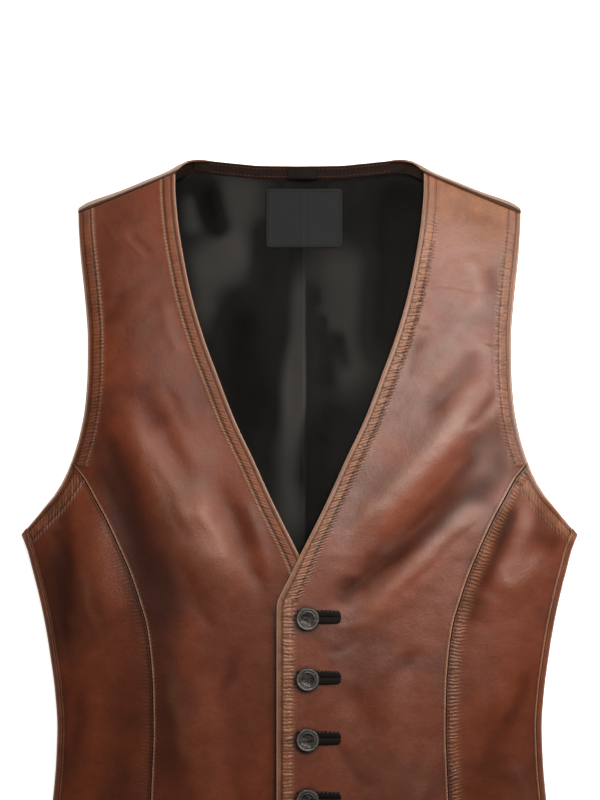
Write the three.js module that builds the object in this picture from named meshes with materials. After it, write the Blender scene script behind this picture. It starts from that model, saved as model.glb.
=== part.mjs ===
// A V-neck leather vest with four buttons, laid flat on its back, front side up.
//
// Sizes are in millimetres and +Z is up. The vest lies on the plane z = 0 and its
// neck points to +Y. "out" is the distance from the centre line and "drop" is the
// distance down from the top of the neck. Left and right are the wearer's, so the
// left side is at +X, and the left front lies over the right one.

import * as THREE from 'three';

// Driving sizes
const LENGTH = 600;
const LEATHER = 1.6;
const LINING = 1.0;
const GAP = 0.3;
const FOLD_RADIUS = 5;
const FOLD_TOP = 2 * FOLD_RADIUS;
const NECK_OUT = 107.2;
const NECK_FOLD_OUT = 96;
const NECK_LIFT_OUT = 62;
const SHOULDER_TIP_OUT = 190.9;
const SHOULDER_TIP_DROP = 42;
const NECK_SEAM_DROP = 12.2;
const TIP_SEAM_DROP = SHOULDER_TIP_DROP + FOLD_RADIUS;
const UNDERARM_DROP = 325;
const SIDE_TOP_DROP = 319;
const SEAM_JOIN_DROP = 263;
const V_BOTTOM_DROP = 390;
const FRONT_HEM_DROP = 600;
const PRINCESS_HEM_DROP = 595.7;
const SIDE_HEM_DROP = 588;
const BACK_PEEK = 1.2;
const UNDERARM_RISE = 4;

// How the fronts lie on each other and on the lining
const OVERLAP_START_DROP = 250;
const OVERLAP_FULL_DROP = 335;
const OVERLAP_OUT = 22;
const LEFT_LIFT = 2.8;
const LEFT_LIFT_WIDTH = 33;
const RIGHT_SINK = 0.7;
const RIGHT_SINK_WIDTH = 23;
const LOWEST_FRONT = 5.6;
const SEAM_EASE = 25;
const FOLD_FADE = 14;
const CROWN_PEAK = 4 / 27;

// Insets of the lining and the ease of the drape behind the neck
const LINING_SIDE_INSET = 8.5;
const LINING_HEM_INSET = 13;
const LINING_LEVEL_DROP = 104;

// Drops of the rows below the underarm, which the side seam follows in straight runs
const SEAM_STOPS = [318.6, 331, 343, 356, 370, 385, 401, 418, 436, 455, 475, 496, 518, 540, 563, 588];

// Buttons, label and hanging loop
const BUTTON_OUT = 7;
const BUTTON_FIRST_DROP = 396;
const BUTTON_PITCH = 52;
const BUTTON_COUNT = 4;
const BUTTON_RADIUS = 10;
const BUTTON_SEGMENTS = 18;
const LABEL = { x: 4, drop: 50.7, width: 66, height: 51, thickness: 0.8 };
const LOOP = { x: 2.5, width: 25, top: 1.2, bottom: 11.2, thickness: 1.0, bow: 1.4 };
const WELT = { start: -2, end: 35.5, width: 12.2, above: 1.2, clearance: 0.6, thickness: 1.0 };
const FACING = { halfWidth: 92, top: 1.0, bottom: 11.5 };

// Front edge: down the V, round its foot and down the buttoned edge
const FRONT_EDGE = [
  { drop: 12.5, out: 107.2 },
  { drop: 22, out: 107.2 },
  { drop: 50, out: 105.3 },
  { drop: 82, out: 100.6 },
  { drop: 117, out: 93.5 },
  { drop: 155, out: 82.5 },
  { drop: 185, out: 71.5 },
  { drop: 224.5, out: 56.3 },
  { drop: 260.5, out: 39.4 },
  { drop: 297, out: 22.8 },
  { drop: 342, out: 0.3 },
  { drop: 361, out: -9 },
  { drop: 374, out: -15.7 },
  { drop: 382.5, out: -19.3 },
  { drop: 390, out: -20 },
  { drop: 600, out: -20 },
];

// Top line: back of the neck, then the fold over the shoulder
const TOP_LINE = [
  { out: 0, drop: 5.4 },
  { out: 34, drop: 5 },
  { out: 52, drop: 3.4 },
  { out: 70, drop: 1.6 },
  { out: 86, drop: 0 },
  { out: 96, drop: 1.2 },
  { out: 107.5, drop: 6.5 },
  { out: 114.8, drop: 10.8 },
  { out: 128.6, drop: 16.3 },
  { out: 156, drop: 27.5 },
  { out: 183.6, drop: 37.4 },
  { out: 190.9, drop: 42 },
];

const ARMHOLE = [
  { drop: 42, out: 190.9 },
  { drop: 60, out: 190.5 },
  { drop: 88, out: 188.2 },
  { drop: 118, out: 185 },
  { drop: 156.5, out: 182.3 },
  { drop: 182, out: 182.5 },
  { drop: 212, out: 184.5 },
  { drop: 237, out: 189 },
  { drop: 263, out: 197 },
  { drop: 285.5, out: 207.7 },
  { drop: 303, out: 222 },
  { drop: 325, out: 240.5 },
];

const SIDE = [
  { drop: 325, out: 240.5 },
  { drop: 337, out: 235.6 },
  { drop: 350, out: 232.2 },
  { drop: 375, out: 225.8 },
  { drop: 401, out: 220.2 },
  { drop: 427, out: 215.9 },
  { drop: 460, out: 211.5 },
  { drop: 490, out: 209.5 },
  { drop: 520, out: 210.5 },
  { drop: 560, out: 214 },
  { drop: 600, out: 218 },
];

// Curved seam between each front and its side front
const PRINCESS = [
  { drop: 263, out: 197 },
  { drop: 275, out: 186.5 },
  { drop: 292, out: 176.5 },
  { drop: 312, out: 165.5 },
  { drop: 336, out: 154.5 },
  { drop: 357, out: 145.5 },
  { drop: 379, out: 138 },
  { drop: 401.5, out: 131.5 },
  { drop: 427, out: 128 },
  { drop: 455, out: 126 },
  { drop: 490, out: 125.5 },
  { drop: 530, out: 127 },
  { drop: 600, out: 130.5 },
];

// Height of the outer face along the front edge
const EDGE_HEIGHT = [
  { drop: 12.5, z: 10 },
  { drop: 50, z: 9.2 },
  { drop: 110, z: 8.4 },
  { drop: 200, z: 8 },
  { drop: 300, z: 8.6 },
  { drop: 390, z: 10 },
  { drop: 460, z: 11 },
  { drop: 530, z: 11 },
  { drop: 600, z: 9.5 },
];

// Height of the outer face along the armhole and the side seam
const OUTER_HEIGHT = [
  { drop: 42, z: 10 },
  { drop: 60, z: 9.2 },
  { drop: 100, z: 7 },
  { drop: 150, z: 6.4 },
  { drop: 210, z: 6.6 },
  { drop: 263, z: 7.8 },
  { drop: 300, z: 9.4 },
  { drop: 319, z: 10 },
];

// How far the front stands up between those two, by distance below the shoulder seam
const CROWN = [
  { below: 0, rise: 0 },
  { below: 30, rise: 1.5 },
  { below: 100, rise: 4.5 },
  { below: 200, rise: 8 },
  { below: 300, rise: 10 },
  { below: 420, rise: 10 },
  { below: 520, rise: 6.5 },
  { below: 600, rise: 3 },
];

// Turned and stitched edges, and plain seams, by distance in from the edge
const TURNED_EDGE = [
  { inset: 0, rise: -0.5 },
  { inset: 2.2, rise: 0.7 },
  { inset: 10.5, rise: 0.7 },
  { inset: 13, rise: 0 },
];
const SEAM_EDGE = [
  { inset: 0, rise: -0.5 },
  { inset: 2.2, rise: 0.1 },
  { inset: 10.5, rise: 0 },
  { inset: 13, rise: 0 },
];
const PUCKERED_EDGE = [
  { inset: 0, rise: -0.5 },
  { inset: 2.2, rise: 0.8 },
  { inset: 7, rise: 1.1 },
  { inset: 12, rise: 0 },
];

// Largest folds of the left front and its side front
const LEFT_FOLDS = [
  { out: 166, drop: 229, toOut: 39, toDrop: 384, width: 9, rise: -4.5 },
  { out: 155, drop: 208, toOut: 43, toDrop: 328, width: 11, rise: 3 },
  { out: 155, drop: 298, toOut: 45, toDrop: 404, width: 10, rise: 3 },
  { out: 159, drop: 167, toOut: 104, toDrop: 225, width: 7, rise: -2.5 },
  { out: 190, drop: 285, toOut: 134, toDrop: 414, width: 6, rise: 1.5 },
  { out: 190, drop: 291, toOut: 150, toDrop: 390, width: 7, rise: -2.5 },
  { out: 168, drop: 371, toOut: 215, toDrop: 346, width: 12, rise: 2 },
  { out: 172, drop: 470, toOut: 158, toDrop: 575, width: 12, rise: -2 },
  { out: 78, drop: 430, toOut: 92, toDrop: 585, width: 14, rise: 2.2 },
  { out: 40, drop: 455, toOut: 70, toDrop: 500, width: 8, rise: -1.4 },
];

// Largest folds of the right front and its side front
const RIGHT_FOLDS = [
  { out: 174, drop: 217, toOut: 130, toDrop: 380, width: 11, rise: -3.5 },
  { out: 156, drop: 208, toOut: 67, toDrop: 380, width: 12, rise: 3 },
  { out: 137, drop: 208, toOut: 86, toDrop: 290, width: 8, rise: -2 },
  { out: 104, drop: 230, toOut: 61, toDrop: 371, width: 10, rise: 2.5 },
  { out: 73, drop: 277, toOut: 25, toDrop: 378, width: 7, rise: -2.5 },
  { out: 47, drop: 294, toOut: 22, toDrop: 371, width: 6, rise: 1.8 },
  { out: 201, drop: 294, toOut: 204, toDrop: 414, width: 8, rise: -3 },
  { out: 178, drop: 311, toOut: 161, toDrop: 397, width: 9, rise: 2 },
  { out: 150, drop: 440, toOut: 164, toDrop: 580, width: 13, rise: -2.2 },
  { out: 88, drop: 450, toOut: 74, toDrop: 590, width: 13, rise: 1.8 },
];

// Ripples of the back lining that show in the neck
const LINING_FOLDS = [
  { out: 3, drop: 70, toOut: 4, toDrop: 330, width: 6, rise: 2.2 },
  { out: -10, drop: 190, toOut: -14, toDrop: 350, width: 10, rise: 1.6 },
  { out: 52, drop: 45, toOut: 36, toDrop: 230, width: 9, rise: 1.8 },
  { out: -74, drop: 15, toOut: -46, toDrop: 130, width: 13, rise: 1.8 },
  { out: 80, drop: 20, toOut: 74, toDrop: 150, width: 8, rise: 1.2 },
];

// Small helpers
const clamp = (value, low, high) => Math.min(Math.max(value, low), high);
const mix = (from, to, part) => from + (to - from) * part;
const smooth = (part) => {
  const t = clamp(part, 0, 1);
  return t * t * (3 - 2 * t);
};
const place = (out, drop, z) => new THREE.Vector3(out, LENGTH / 2 - drop, z);

// A smooth curve through a table, with no overshoot between its rows
function curve(table, from, to) {
  const x = table.map((row) => row[from]);
  const y = table.map((row) => row[to]);
  const last = x.length - 1;
  const slope = (i) => (y[i + 1] - y[i]) / (x[i + 1] - x[i]);
  const tangent = x.map((_, i) => {
    if (i === 0) return slope(0);
    if (i === last) return slope(last - 1);
    const before = slope(i - 1);
    const after = slope(i);
    return before * after <= 0 ? 0 : (2 * before * after) / (before + after);
  });
  return (at) => {
    const spot = clamp(at, x[0], x[last]);
    let i = 0;
    while (i < last - 1 && spot > x[i + 1]) i += 1;
    const step = x[i + 1] - x[i];
    const t = (spot - x[i]) / step;
    const ease = t * t * (3 - 2 * t);
    return mix(y[i], y[i + 1], ease)
      + step * t * (1 - t) * (tangent[i] * (1 - t) - tangent[i + 1] * t);
  };
}

const frontEdge = curve(FRONT_EDGE, 'drop', 'out');
const topLine = curve(TOP_LINE, 'out', 'drop');
const armhole = curve(ARMHOLE, 'drop', 'out');
const side = curve(SIDE, 'drop', 'out');
const princess = curve(PRINCESS, 'drop', 'out');
const edgeHeight = curve(EDGE_HEIGHT, 'drop', 'z');
const outerHeight = curve(OUTER_HEIGHT, 'drop', 'z');
const crown = curve(CROWN, 'below', 'rise');

// Widening of a measure taken straight across, where the line at that drop slopes
function slant(line, drop) {
  const rise = (line(drop + 1) - line(drop - 1)) / 2;
  return Math.hypot(1, rise);
}

// The shoulder seam is straight
function shoulderSeam(out) {
  const across = clamp(out, NECK_OUT, SHOULDER_TIP_OUT);
  const part = (across - NECK_OUT) / (SHOULDER_TIP_OUT - NECK_OUT);
  return mix(NECK_SEAM_DROP, TIP_SEAM_DROP, part);
}

function sideSeam(drop) {
  const last = SEAM_STOPS.length - 2;
  let i = 0;
  while (i < last && drop > SEAM_STOPS[i + 1]) i += 1;
  const part = (drop - SEAM_STOPS[i]) / (SEAM_STOPS[i + 1] - SEAM_STOPS[i]);
  return mix(side(SEAM_STOPS[i]), side(SEAM_STOPS[i + 1]), part) - FOLD_RADIUS;
}

const outerLimit = (drop) => (drop < SIDE_TOP_DROP ? armhole(drop) : sideSeam(drop));

// Sum of soft folds at a place, each one fading towards its two ends
function foldHeight(folds, out, drop) {
  return folds.reduce((sum, fold) => {
    const alongOut = fold.toOut - fold.out;
    const alongDrop = fold.toDrop - fold.drop;
    const length = Math.hypot(alongOut, alongDrop);
    const part = ((out - fold.out) * alongOut + (drop - fold.drop) * alongDrop) / length ** 2;
    const off = ((out - fold.out) * alongDrop - (drop - fold.drop) * alongOut) / length;
    const ends = smooth((part + 0.1) / 0.35) * smooth((1.1 - part) / 0.35);
    return sum + fold.rise * ends * Math.exp(-0.5 * (off / fold.width) ** 2);
  }, 0);
}

// Height of the smooth outer face of a front
function frontHeight(sign, out, drop) {
  const innerOut = Math.max(0, frontEdge(drop));
  const outerOut = outerLimit(drop);
  const across = clamp((out - innerOut) / (outerOut - innerOut), 0, 1);
  const below = drop - shoulderSeam(out);
  const level = mix(edgeHeight(drop), outerHeight(drop), across);
  const bulge = (across * across * (1 - across) * crown(below)) / CROWN_PEAK;
  const overlap = smooth((drop - OVERLAP_START_DROP) / (OVERLAP_FULL_DROP - OVERLAP_START_DROP));
  const nearSide = drop < SIDE_TOP_DROP ? 1 : smooth((outerOut - out) / FOLD_FADE);
  const nearOverlap = mix(1, smooth((out - OVERLAP_OUT) / FOLD_FADE), overlap);
  const folds = foldHeight(sign > 0 ? LEFT_FOLDS : RIGHT_FOLDS, out, drop);
  const free = level + bulge + folds * nearSide * nearOverlap;
  const settled = mix(FOLD_TOP, free, smooth(below / SEAM_EASE));
  const held = (settled + LOWEST_FRONT + Math.hypot(settled - LOWEST_FRONT, 0.8)) / 2;
  const lift = sign > 0
    ? LEFT_LIFT * (1 - smooth((out - OVERLAP_OUT) / LEFT_LIFT_WIDTH))
    : -RIGHT_SINK * (1 - smooth((out - OVERLAP_OUT) / RIGHT_SINK_WIDTH));
  return held + overlap * lift;
}

// A closed wall from an outer sheet of points, the inner points and their faces
class Wall {
  constructor() {
    this.outer = [];
    this.inner = [];
    this.faces = [];
  }

  point(outer, inner) {
    this.outer.push(outer);
    this.inner.push(inner);
    return this.outer.length - 1;
  }

  // Faces between the rows of a grid of point numbers
  grid(rows) {
    for (let r = 0; r + 1 < rows.length; r += 1) {
      for (let c = 0; c + 1 < rows[r].length; c += 1) {
        this.faces.push([rows[r][c], rows[r + 1][c], rows[r + 1][c + 1], rows[r][c + 1]]);
      }
    }
  }

  triangles() {
    const count = this.outer.length;
    const triangles = [];
    const edges = new Map();
    this.faces.forEach(([a, b, c, d]) => {
      const short = this.outer[a].distanceTo(this.outer[c]) <= this.outer[b].distanceTo(this.outer[d]);
      const halves = short ? [[a, b, c], [a, c, d]] : [[a, b, d], [b, c, d]];
      halves.forEach(([i, j, k]) => {
        triangles.push([i, j, k], [i + count, k + count, j + count]);
      });
      [[a, b], [b, c], [c, d], [d, a]].forEach(([from, to]) => {
        const back = `${to},${from}`;
        if (edges.has(back)) edges.delete(back);
        else edges.set(`${from},${to}`, [from, to]);
      });
    });
    edges.forEach(([a, b]) => {
      triangles.push([b, a, a + count], [b, a + count, b + count]);
    });
    return triangles;
  }

  geometry() {
    const points = [...this.outer, ...this.inner];
    const triangles = this.triangles();
    const volume = triangles.reduce((sum, [a, b, c]) => (
      sum + points[a].dot(points[b].clone().cross(points[c]))
    ), 0);
    const index = volume > 0 ? triangles.flat() : triangles.map(([a, b, c]) => [a, c, b]).flat();
    const shape = new THREE.BufferGeometry().setFromPoints(points);
    shape.setIndex(index);
    shape.computeVertexNormals();
    return shape;
  }
}

// A wall over one grid, where pointAt gives an outer point and the inner one behind it
function gridWall(rowCount, columnCount, pointAt) {
  const wall = new Wall();
  const rows = [];
  for (let r = 0; r < rowCount; r += 1) {
    const row = [];
    for (let c = 0; c < columnCount; c += 1) row.push(wall.point(...pointAt(r, c)));
    rows.push(row);
  }
  wall.grid(rows);
  return wall.geometry();
}

// Evenly spaced values from one number to the next, without the first
function steps(from, to, count) {
  return Array.from({ length: count }, (_, i) => mix(from, to, (i + 1) / count));
}

// Height added by two edge profiles that cross
function joinRise(a, b) {
  return Math.min(a, b) < 0 ? Math.min(a, b) : Math.max(a, b);
}

// Drops down the princess seam, which both pieces along it share
function seamDrops() {
  const start = SEAM_JOIN_DROP + GAP;
  const insets = TURNED_EDGE.map(({ inset }) => inset);
  const turn = insets[3];
  return [
    ...insets.map((inset) => start + inset),
    ...steps(start + turn, V_BOTTOM_DROP, 9),
    ...steps(V_BOTTOM_DROP, PRINCESS_HEM_DROP - turn, 8),
    ...insets.slice(0, 3).reverse().map((inset) => PRINCESS_HEM_DROP - inset),
  ];
}

// Added height at the turned hem, by distance above it
function hemRise(above) {
  const row = TURNED_EDGE.find(({ inset }) => Math.abs(inset - above) < 0.01);
  return row ? row.rise : 0;
}

// Rows of a front: drop on its front edge, drop on its outer edge, and added height
function frontRows() {
  const seamTip = TIP_SEAM_DROP + GAP;
  const seamNeck = NECK_SEAM_DROP + GAP;
  const rows = SEAM_EDGE.slice(0, 2).map(({ inset, rise }) => (
    { edge: seamNeck + inset, outer: seamTip + inset, rise }
  ));
  steps(seamTip + 2.2, SEAM_JOIN_DROP, 14).forEach((outer) => {
    const part = (outer - seamTip) / (SEAM_JOIN_DROP - seamTip);
    rows.push({ edge: mix(seamNeck, SEAM_JOIN_DROP, part), outer, rise: 0 });
  });
  const hemDip = FRONT_HEM_DROP - PRINCESS_HEM_DROP;
  const lower = PRINCESS_HEM_DROP - TURNED_EDGE[3].inset;
  seamDrops().slice(1).forEach((outer) => {
    const dip = hemDip * clamp((outer - V_BOTTOM_DROP) / (lower - V_BOTTOM_DROP), 0, 1);
    rows.push({ edge: outer + dip, outer, rise: hemRise(PRINCESS_HEM_DROP - outer) });
  });
  return rows;
}

// Front: from the V and the buttoned edge to the armhole and the princess seam
function frontPanel(sign) {
  const rows = frontRows();
  const middle = 8;
  const turned = TURNED_EDGE.length;
  const columns = turned * 2 + middle;
  return gridWall(rows.length, columns, (r, c) => {
    const row = rows[r];
    const onArmhole = row.outer <= SEAM_JOIN_DROP + 0.01;
    const outerLine = onArmhole ? armhole : princess;
    const outerProfile = onArmhole ? TURNED_EDGE : SEAM_EDGE;
    const from = frontEdge(row.edge);
    const to = outerLine(row.outer) - (onArmhole ? 0 : GAP * 0.65);
    const fromTurn = slant(frontEdge, row.edge);
    const toTurn = onArmhole ? slant(armhole, row.outer) : 1;
    let out;
    let rise = 0;
    if (c < turned) {
      out = from + TURNED_EDGE[c].inset * fromTurn;
      rise = TURNED_EDGE[c].rise;
    } else if (c >= turned + middle) {
      const profile = outerProfile[columns - 1 - c];
      out = to - profile.inset * toTurn;
      rise = profile.rise;
    } else {
      const low = from + TURNED_EDGE[turned - 1].inset * fromTurn;
      const high = to - outerProfile[turned - 1].inset * toTurn;
      out = mix(low, high, (c - turned + 1) / (middle + 1));
    }
    const part = (out - from) / (to - from);
    const drop = mix(row.edge, row.outer, part);
    const base = frontHeight(sign, out, drop);
    const outer = place(sign * out, drop, base + joinRise(rise, row.rise));
    return [outer, place(sign * out, drop, base - LEATHER)];
  });
}

// Side front: from the princess seam to the side seam, below the armhole
function sideFrontPanel(sign) {
  const topDrop = SEAM_JOIN_DROP + GAP;
  const turn = TURNED_EDGE[3].inset;
  const rise = [...TURNED_EDGE.map((row) => row.rise)];
  const rows = seamDrops().map((inner, i) => {
    const part = clamp((inner - topDrop - turn) / (PRINCESS_HEM_DROP - topDrop - 2 * turn), 0, 1);
    const shift = mix(SIDE_TOP_DROP + GAP - topDrop, SIDE_HEM_DROP - PRINCESS_HEM_DROP, part);
    return { inner, outer: inner + shift, rise: rise[i] ?? hemRise(PRINCESS_HEM_DROP - inner) };
  });
  const middle = 4;
  const inside = PUCKERED_EDGE.length;
  const outside = SEAM_EDGE.length;
  const columns = inside + middle + outside;
  return gridWall(rows.length, columns, (r, c) => {
    const row = rows[r];
    const from = princess(row.inner) + GAP * 0.65;
    const to = outerLimit(row.outer) - GAP * 1.2;
    const width = Math.hypot(to - from, row.outer - row.inner);
    let part;
    let rise = 0;
    if (c < inside) {
      part = PUCKERED_EDGE[c].inset / width;
      rise = PUCKERED_EDGE[c].rise;
    } else if (c >= inside + middle) {
      const profile = SEAM_EDGE[columns - 1 - c];
      part = 1 - profile.inset / width;
      rise = profile.rise;
    } else {
      const low = PUCKERED_EDGE[inside - 1].inset;
      const high = width - SEAM_EDGE[outside - 1].inset;
      part = mix(low, high, (c - inside + 1) / (middle + 1)) / width;
    }
    const straightDrop = mix(row.inner, row.outer, part);
    const straightOut = mix(from, to, part);
    const topRowDrop = mix(topDrop, SIDE_TOP_DROP + GAP, part);
    const topRowOut = mix(princess(topDrop), outerLimit(SIDE_TOP_DROP), part);
    const bend = clamp(1 - (row.inner - topDrop) / 90, 0, 1);
    const out = straightOut + (armhole(topRowDrop) - topRowOut) * bend;
    const base = frontHeight(sign, out, straightDrop);
    const outer = place(sign * out, straightDrop, base + joinRise(rise, row.rise));
    return [outer, place(sign * out, straightDrop, base - LEATHER)];
  });
}

// Place on a sheet that ends at "edge" and turns up there through "angle", at a
// distance "back" from its edge: how far in it lies, its height and its slope
function turnUp(back, angle) {
  const arc = FOLD_RADIUS * angle;
  const slope = Math.max(0, angle - back / FOLD_RADIUS);
  const straight = Math.max(0, back - arc);
  return {
    inset: straight + FOLD_RADIUS * (Math.sin(angle) - Math.sin(slope)),
    height: FOLD_RADIUS * (1 - Math.cos(slope)),
    slope,
  };
}

const neckLift = (out) => {
  const part = (Math.abs(out) - NECK_LIFT_OUT) / (NECK_FOLD_OUT - NECK_LIFT_OUT);
  return (Math.PI / 2) * smooth(part);
};

const sideLift = (drop) => (
  (Math.PI / 2) * clamp((drop - UNDERARM_DROP + UNDERARM_RISE) / UNDERARM_RISE, 0, 1)
);

// Outline of the back, a little wider than the front at the armhole
function backOutline(drop) {
  if (drop >= UNDERARM_DROP) return side(drop);
  const peek = smooth((drop - 47) / 30) * smooth((UNDERARM_DROP - drop) / 40);
  return armhole(drop) + BACK_PEEK * peek;
}

// A point on the outer face of the back and the point straight behind it, "depth" in
function backPoint(sign, out, drop, height, sideSlope, topSlope, depth) {
  const normal = new THREE.Vector3(
    sign * Math.sin(sideSlope),
    Math.sin(topSlope),
    -Math.cos(Math.max(sideSlope, topSlope)),
  );
  return place(sign * out, drop, height).addScaledVector(normal, -depth);
}

// Back: one piece, turned up at the sides and over the shoulders to the seams
function backPanel() {
  const quarter = FOLD_RADIUS * Math.PI / 2;
  const edgeBacks = [quarter, quarter * 2 / 3, quarter / 3, 0];
  const topOuts = [0, 34, NECK_LIFT_OUT, 74, 85, NECK_FOLD_OUT, 128, 158];
  const flatOut = SHOULDER_TIP_OUT - quarter;
  const wall = new Wall();

  const rows = [...edgeBacks].reverse().map((back) => ({ back, level: 0 }));
  steps(0, 1, 8).forEach((level) => rows.push({ back: quarter, level }));
  const lowerDrops = [UNDERARM_DROP - UNDERARM_RISE / 2, UNDERARM_DROP, ...SEAM_STOPS.slice(1)];
  lowerDrops.forEach((drop) => rows.push({ back: quarter, level: 1, drop }));
  const underarmRow = rows.findIndex((row) => row.drop === UNDERARM_DROP);

  const add = (sign, out, drop, height, sideSlope, topSlope) => wall.point(
    backPoint(sign, out, drop, height, sideSlope, topSlope, 0),
    backPoint(sign, out, drop, height, sideSlope, topSlope, LEATHER),
  );

  // One point of the flat part, on column "c" of one half
  const mainPoint = (row, c, sign) => {
    const onEdge = c >= topOuts.length;
    const edgeBack = onEdge ? edgeBacks[c - topOuts.length] : 0;
    const topOut = onEdge ? SHOULDER_TIP_OUT - edgeBack : topOuts[c];
    const top = turnUp(row.back, neckLift(topOut));
    const tipInset = turnUp(row.back, Math.PI / 2).inset;
    const lastTopDrop = UNDERARM_DROP - UNDERARM_RISE;
    const drop = row.drop ?? mix(topLine(topOut) + top.inset, lastTopDrop, row.level);
    const edgeDrop = row.drop ?? mix(SHOULDER_TIP_DROP + tipInset, lastTopDrop, row.level);
    const edgeOut = backOutline(edgeDrop);
    const turn = turnUp(edgeBack, sideLift(edgeDrop));
    const flatInset = turnUp(quarter, sideLift(edgeDrop)).inset;
    const out = onEdge ? edgeOut - turn.inset : (topOut / flatOut) * (edgeOut - flatInset);
    const topSlope = row.level === 0 ? top.slope : 0;
    const topHeight = row.level === 0 ? top.height : 0;
    const height = topHeight + (onEdge ? turn.height : 0);
    return add(sign, out, drop, height, onEdge ? turn.slope : 0, topSlope);
  };

  const halfColumns = topOuts.length + edgeBacks.length;
  const main = rows.map((row) => {
    const right = [];
    for (let c = halfColumns - 1; c > 0; c -= 1) right.push(mainPoint(row, c, -1));
    const left = [];
    for (let c = 0; c < halfColumns; c += 1) left.push(mainPoint(row, c, 1));
    return [...right, ...left];
  });
  wall.grid(main);

  const slopes = [Math.PI * 2 / 3, Math.PI * 5 / 6, Math.PI];
  const seamTops = [324.1, 321.8, SEAM_STOPS[0]];
  const neckOuts = [101, 104.8, NECK_OUT];
  const firstFold = topOuts.indexOf(NECK_FOLD_OUT);
  [-1, 1].forEach((sign) => {
    const last = sign > 0 ? main[0].length - 1 : 0;

    // Turn-up at the side, from the widest point to the side seam
    const wing = main.slice(underarmRow).map((row, r) => {
      const folded = slopes.map((slope, k) => {
        const rowDrop = rows[underarmRow + r].drop;
        const drop = r === 0 ? seamTops[k] : rowDrop;
        const out = side(drop) - FOLD_RADIUS * (1 - Math.sin(slope));
        return add(sign, out, drop, FOLD_RADIUS * (1 - Math.cos(slope)), slope, 0);
      });
      return sign > 0 ? [row[last], ...folded] : [...folded.reverse(), row[last]];
    });
    wall.grid(wing);

    // Turn-over at the shoulder, from the highest line to the shoulder seam
    const middle = halfColumns - 1;
    const topRow = main[0];
    const own = sign > 0
      ? topRow.slice(middle + firstFold)
      : topRow.slice(0, middle - firstFold + 1).reverse();
    const folded = slopes.map((slope, k) => own.map((_, i) => {
      const c = firstFold + i;
      const fromEdge = c >= topOuts.length ? edgeBacks[c - topOuts.length] : 0;
      const topOut = c >= topOuts.length ? SHOULDER_TIP_OUT - fromEdge : topOuts[c];
      const part = (topOut - NECK_FOLD_OUT) / (SHOULDER_TIP_OUT - NECK_FOLD_OUT);
      const out = mix(neckOuts[k], SHOULDER_TIP_OUT, part);
      const extra = (shoulderSeam(out) - topLine(out) - FOLD_RADIUS) * ((k + 1) / 3) ** 2;
      const drop = topLine(out) + FOLD_RADIUS * (1 - Math.sin(slope)) + extra;
      return add(sign, out, drop, FOLD_RADIUS * (1 - Math.cos(slope)), 0, slope);
    }));
    const over = [own, ...folded].reverse();
    wall.grid(sign > 0 ? over : over.map((row) => [...row].reverse()));
  });
  return wall.geometry();
}

// Height of the lining's upper face, which ripples only where the neck shows it
function liningHeight(x, drop) {
  const shown = smooth((frontEdge(drop) - Math.abs(x) + 6) / 22) * smooth((drop - 12) / 40);
  const ripple = foldHeight(LINING_FOLDS, x, drop);
  return LEATHER + GAP + LINING + Math.max(0, ripple) * shown;
}

function backLining() {
  const topInset = FACING.bottom + GAP;
  const rows = steps(0, 1, 5).map((level) => ({ level }));
  rows.unshift({ level: 0 });
  steps(LINING_LEVEL_DROP, 344, 15).forEach((drop) => rows.push({ level: 1, drop }));
  [385, 430, 480, 530, SIDE_HEM_DROP - LINING_HEM_INSET].forEach((drop) => rows.push({ level: 1, drop }));
  const nearOuts = [0, 9, 18, 28, 39, 52, 68, 86];
  const farSteps = 3;
  const half = nearOuts.length + farSteps;
  return gridWall(rows.length, half * 2 - 1, (r, c) => {
    const row = rows[r];
    const k = Math.abs(c - half + 1);
    const sign = c < half - 1 ? -1 : 1;
    const edgeTop = topLine(SHOULDER_TIP_OUT - LINING_SIDE_INSET) + topInset;
    const edgeDrop = row.drop ?? mix(edgeTop, LINING_LEVEL_DROP, row.level);
    const edgeOut = backOutline(edgeDrop) - LINING_SIDE_INSET;
    const last = nearOuts[nearOuts.length - 1];
    const out = k < nearOuts.length
      ? nearOuts[k]
      : mix(last, edgeOut, (k - nearOuts.length + 1) / farSteps);
    const drop = row.drop ?? mix(topLine(out) + topInset, LINING_LEVEL_DROP, row.level);
    const z = liningHeight(sign * out, drop);
    return [place(sign * out, drop, z), place(sign * out, drop, LEATHER + GAP)];
  });
}

// Leather facing round the back of the neck, on the inner face of the back
function neckFacing() {
  const backs = [FACING.top, 3.6, 6.2, 8.8, FACING.bottom];
  const columns = 25;
  const depth = LEATHER + GAP;
  return gridWall(backs.length, columns, (r, c) => {
    const x = mix(-FACING.halfWidth, FACING.halfWidth, c / (columns - 1));
    const out = Math.abs(x);
    const sign = x < 0 ? -1 : 1;
    const turn = turnUp(backs[r], neckLift(out));
    const drop = topLine(out) + turn.inset;
    return [
      backPoint(sign, out, drop, turn.height, 0, turn.slope, depth),
      backPoint(sign, out, drop, turn.height, 0, turn.slope, depth + LINING),
    ];
  });
}

// Woven label, a plain patch that lies on the lining
function label() {
  const rows = 6;
  const columns = 8;
  return gridWall(rows, columns, (r, c) => {
    const x = LABEL.x + LABEL.width * (c / (columns - 1) - 0.5);
    const drop = LABEL.drop + LABEL.height * (r / (rows - 1) - 0.5);
    const base = liningHeight(x, drop) + GAP + 0.15;
    return [place(x, drop, base + LABEL.thickness), place(x, drop, base)];
  });
}

// Short tape loop for hanging the vest, sewn on the facing
function hangerLoop() {
  const columns = 9;
  return gridWall(2, columns, (r, c) => {
    const part = c / (columns - 1);
    const x = LOOP.x + LOOP.width * (part - 0.5);
    const drop = topLine(Math.abs(x)) + (r === 0 ? LOOP.top : LOOP.bottom);
    const base = LEATHER + GAP + LINING + GAP + LOOP.bow * Math.sin(Math.PI * part) ** 2;
    return [place(x, drop, base + LOOP.thickness), place(x, drop, base)];
  });
}

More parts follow.
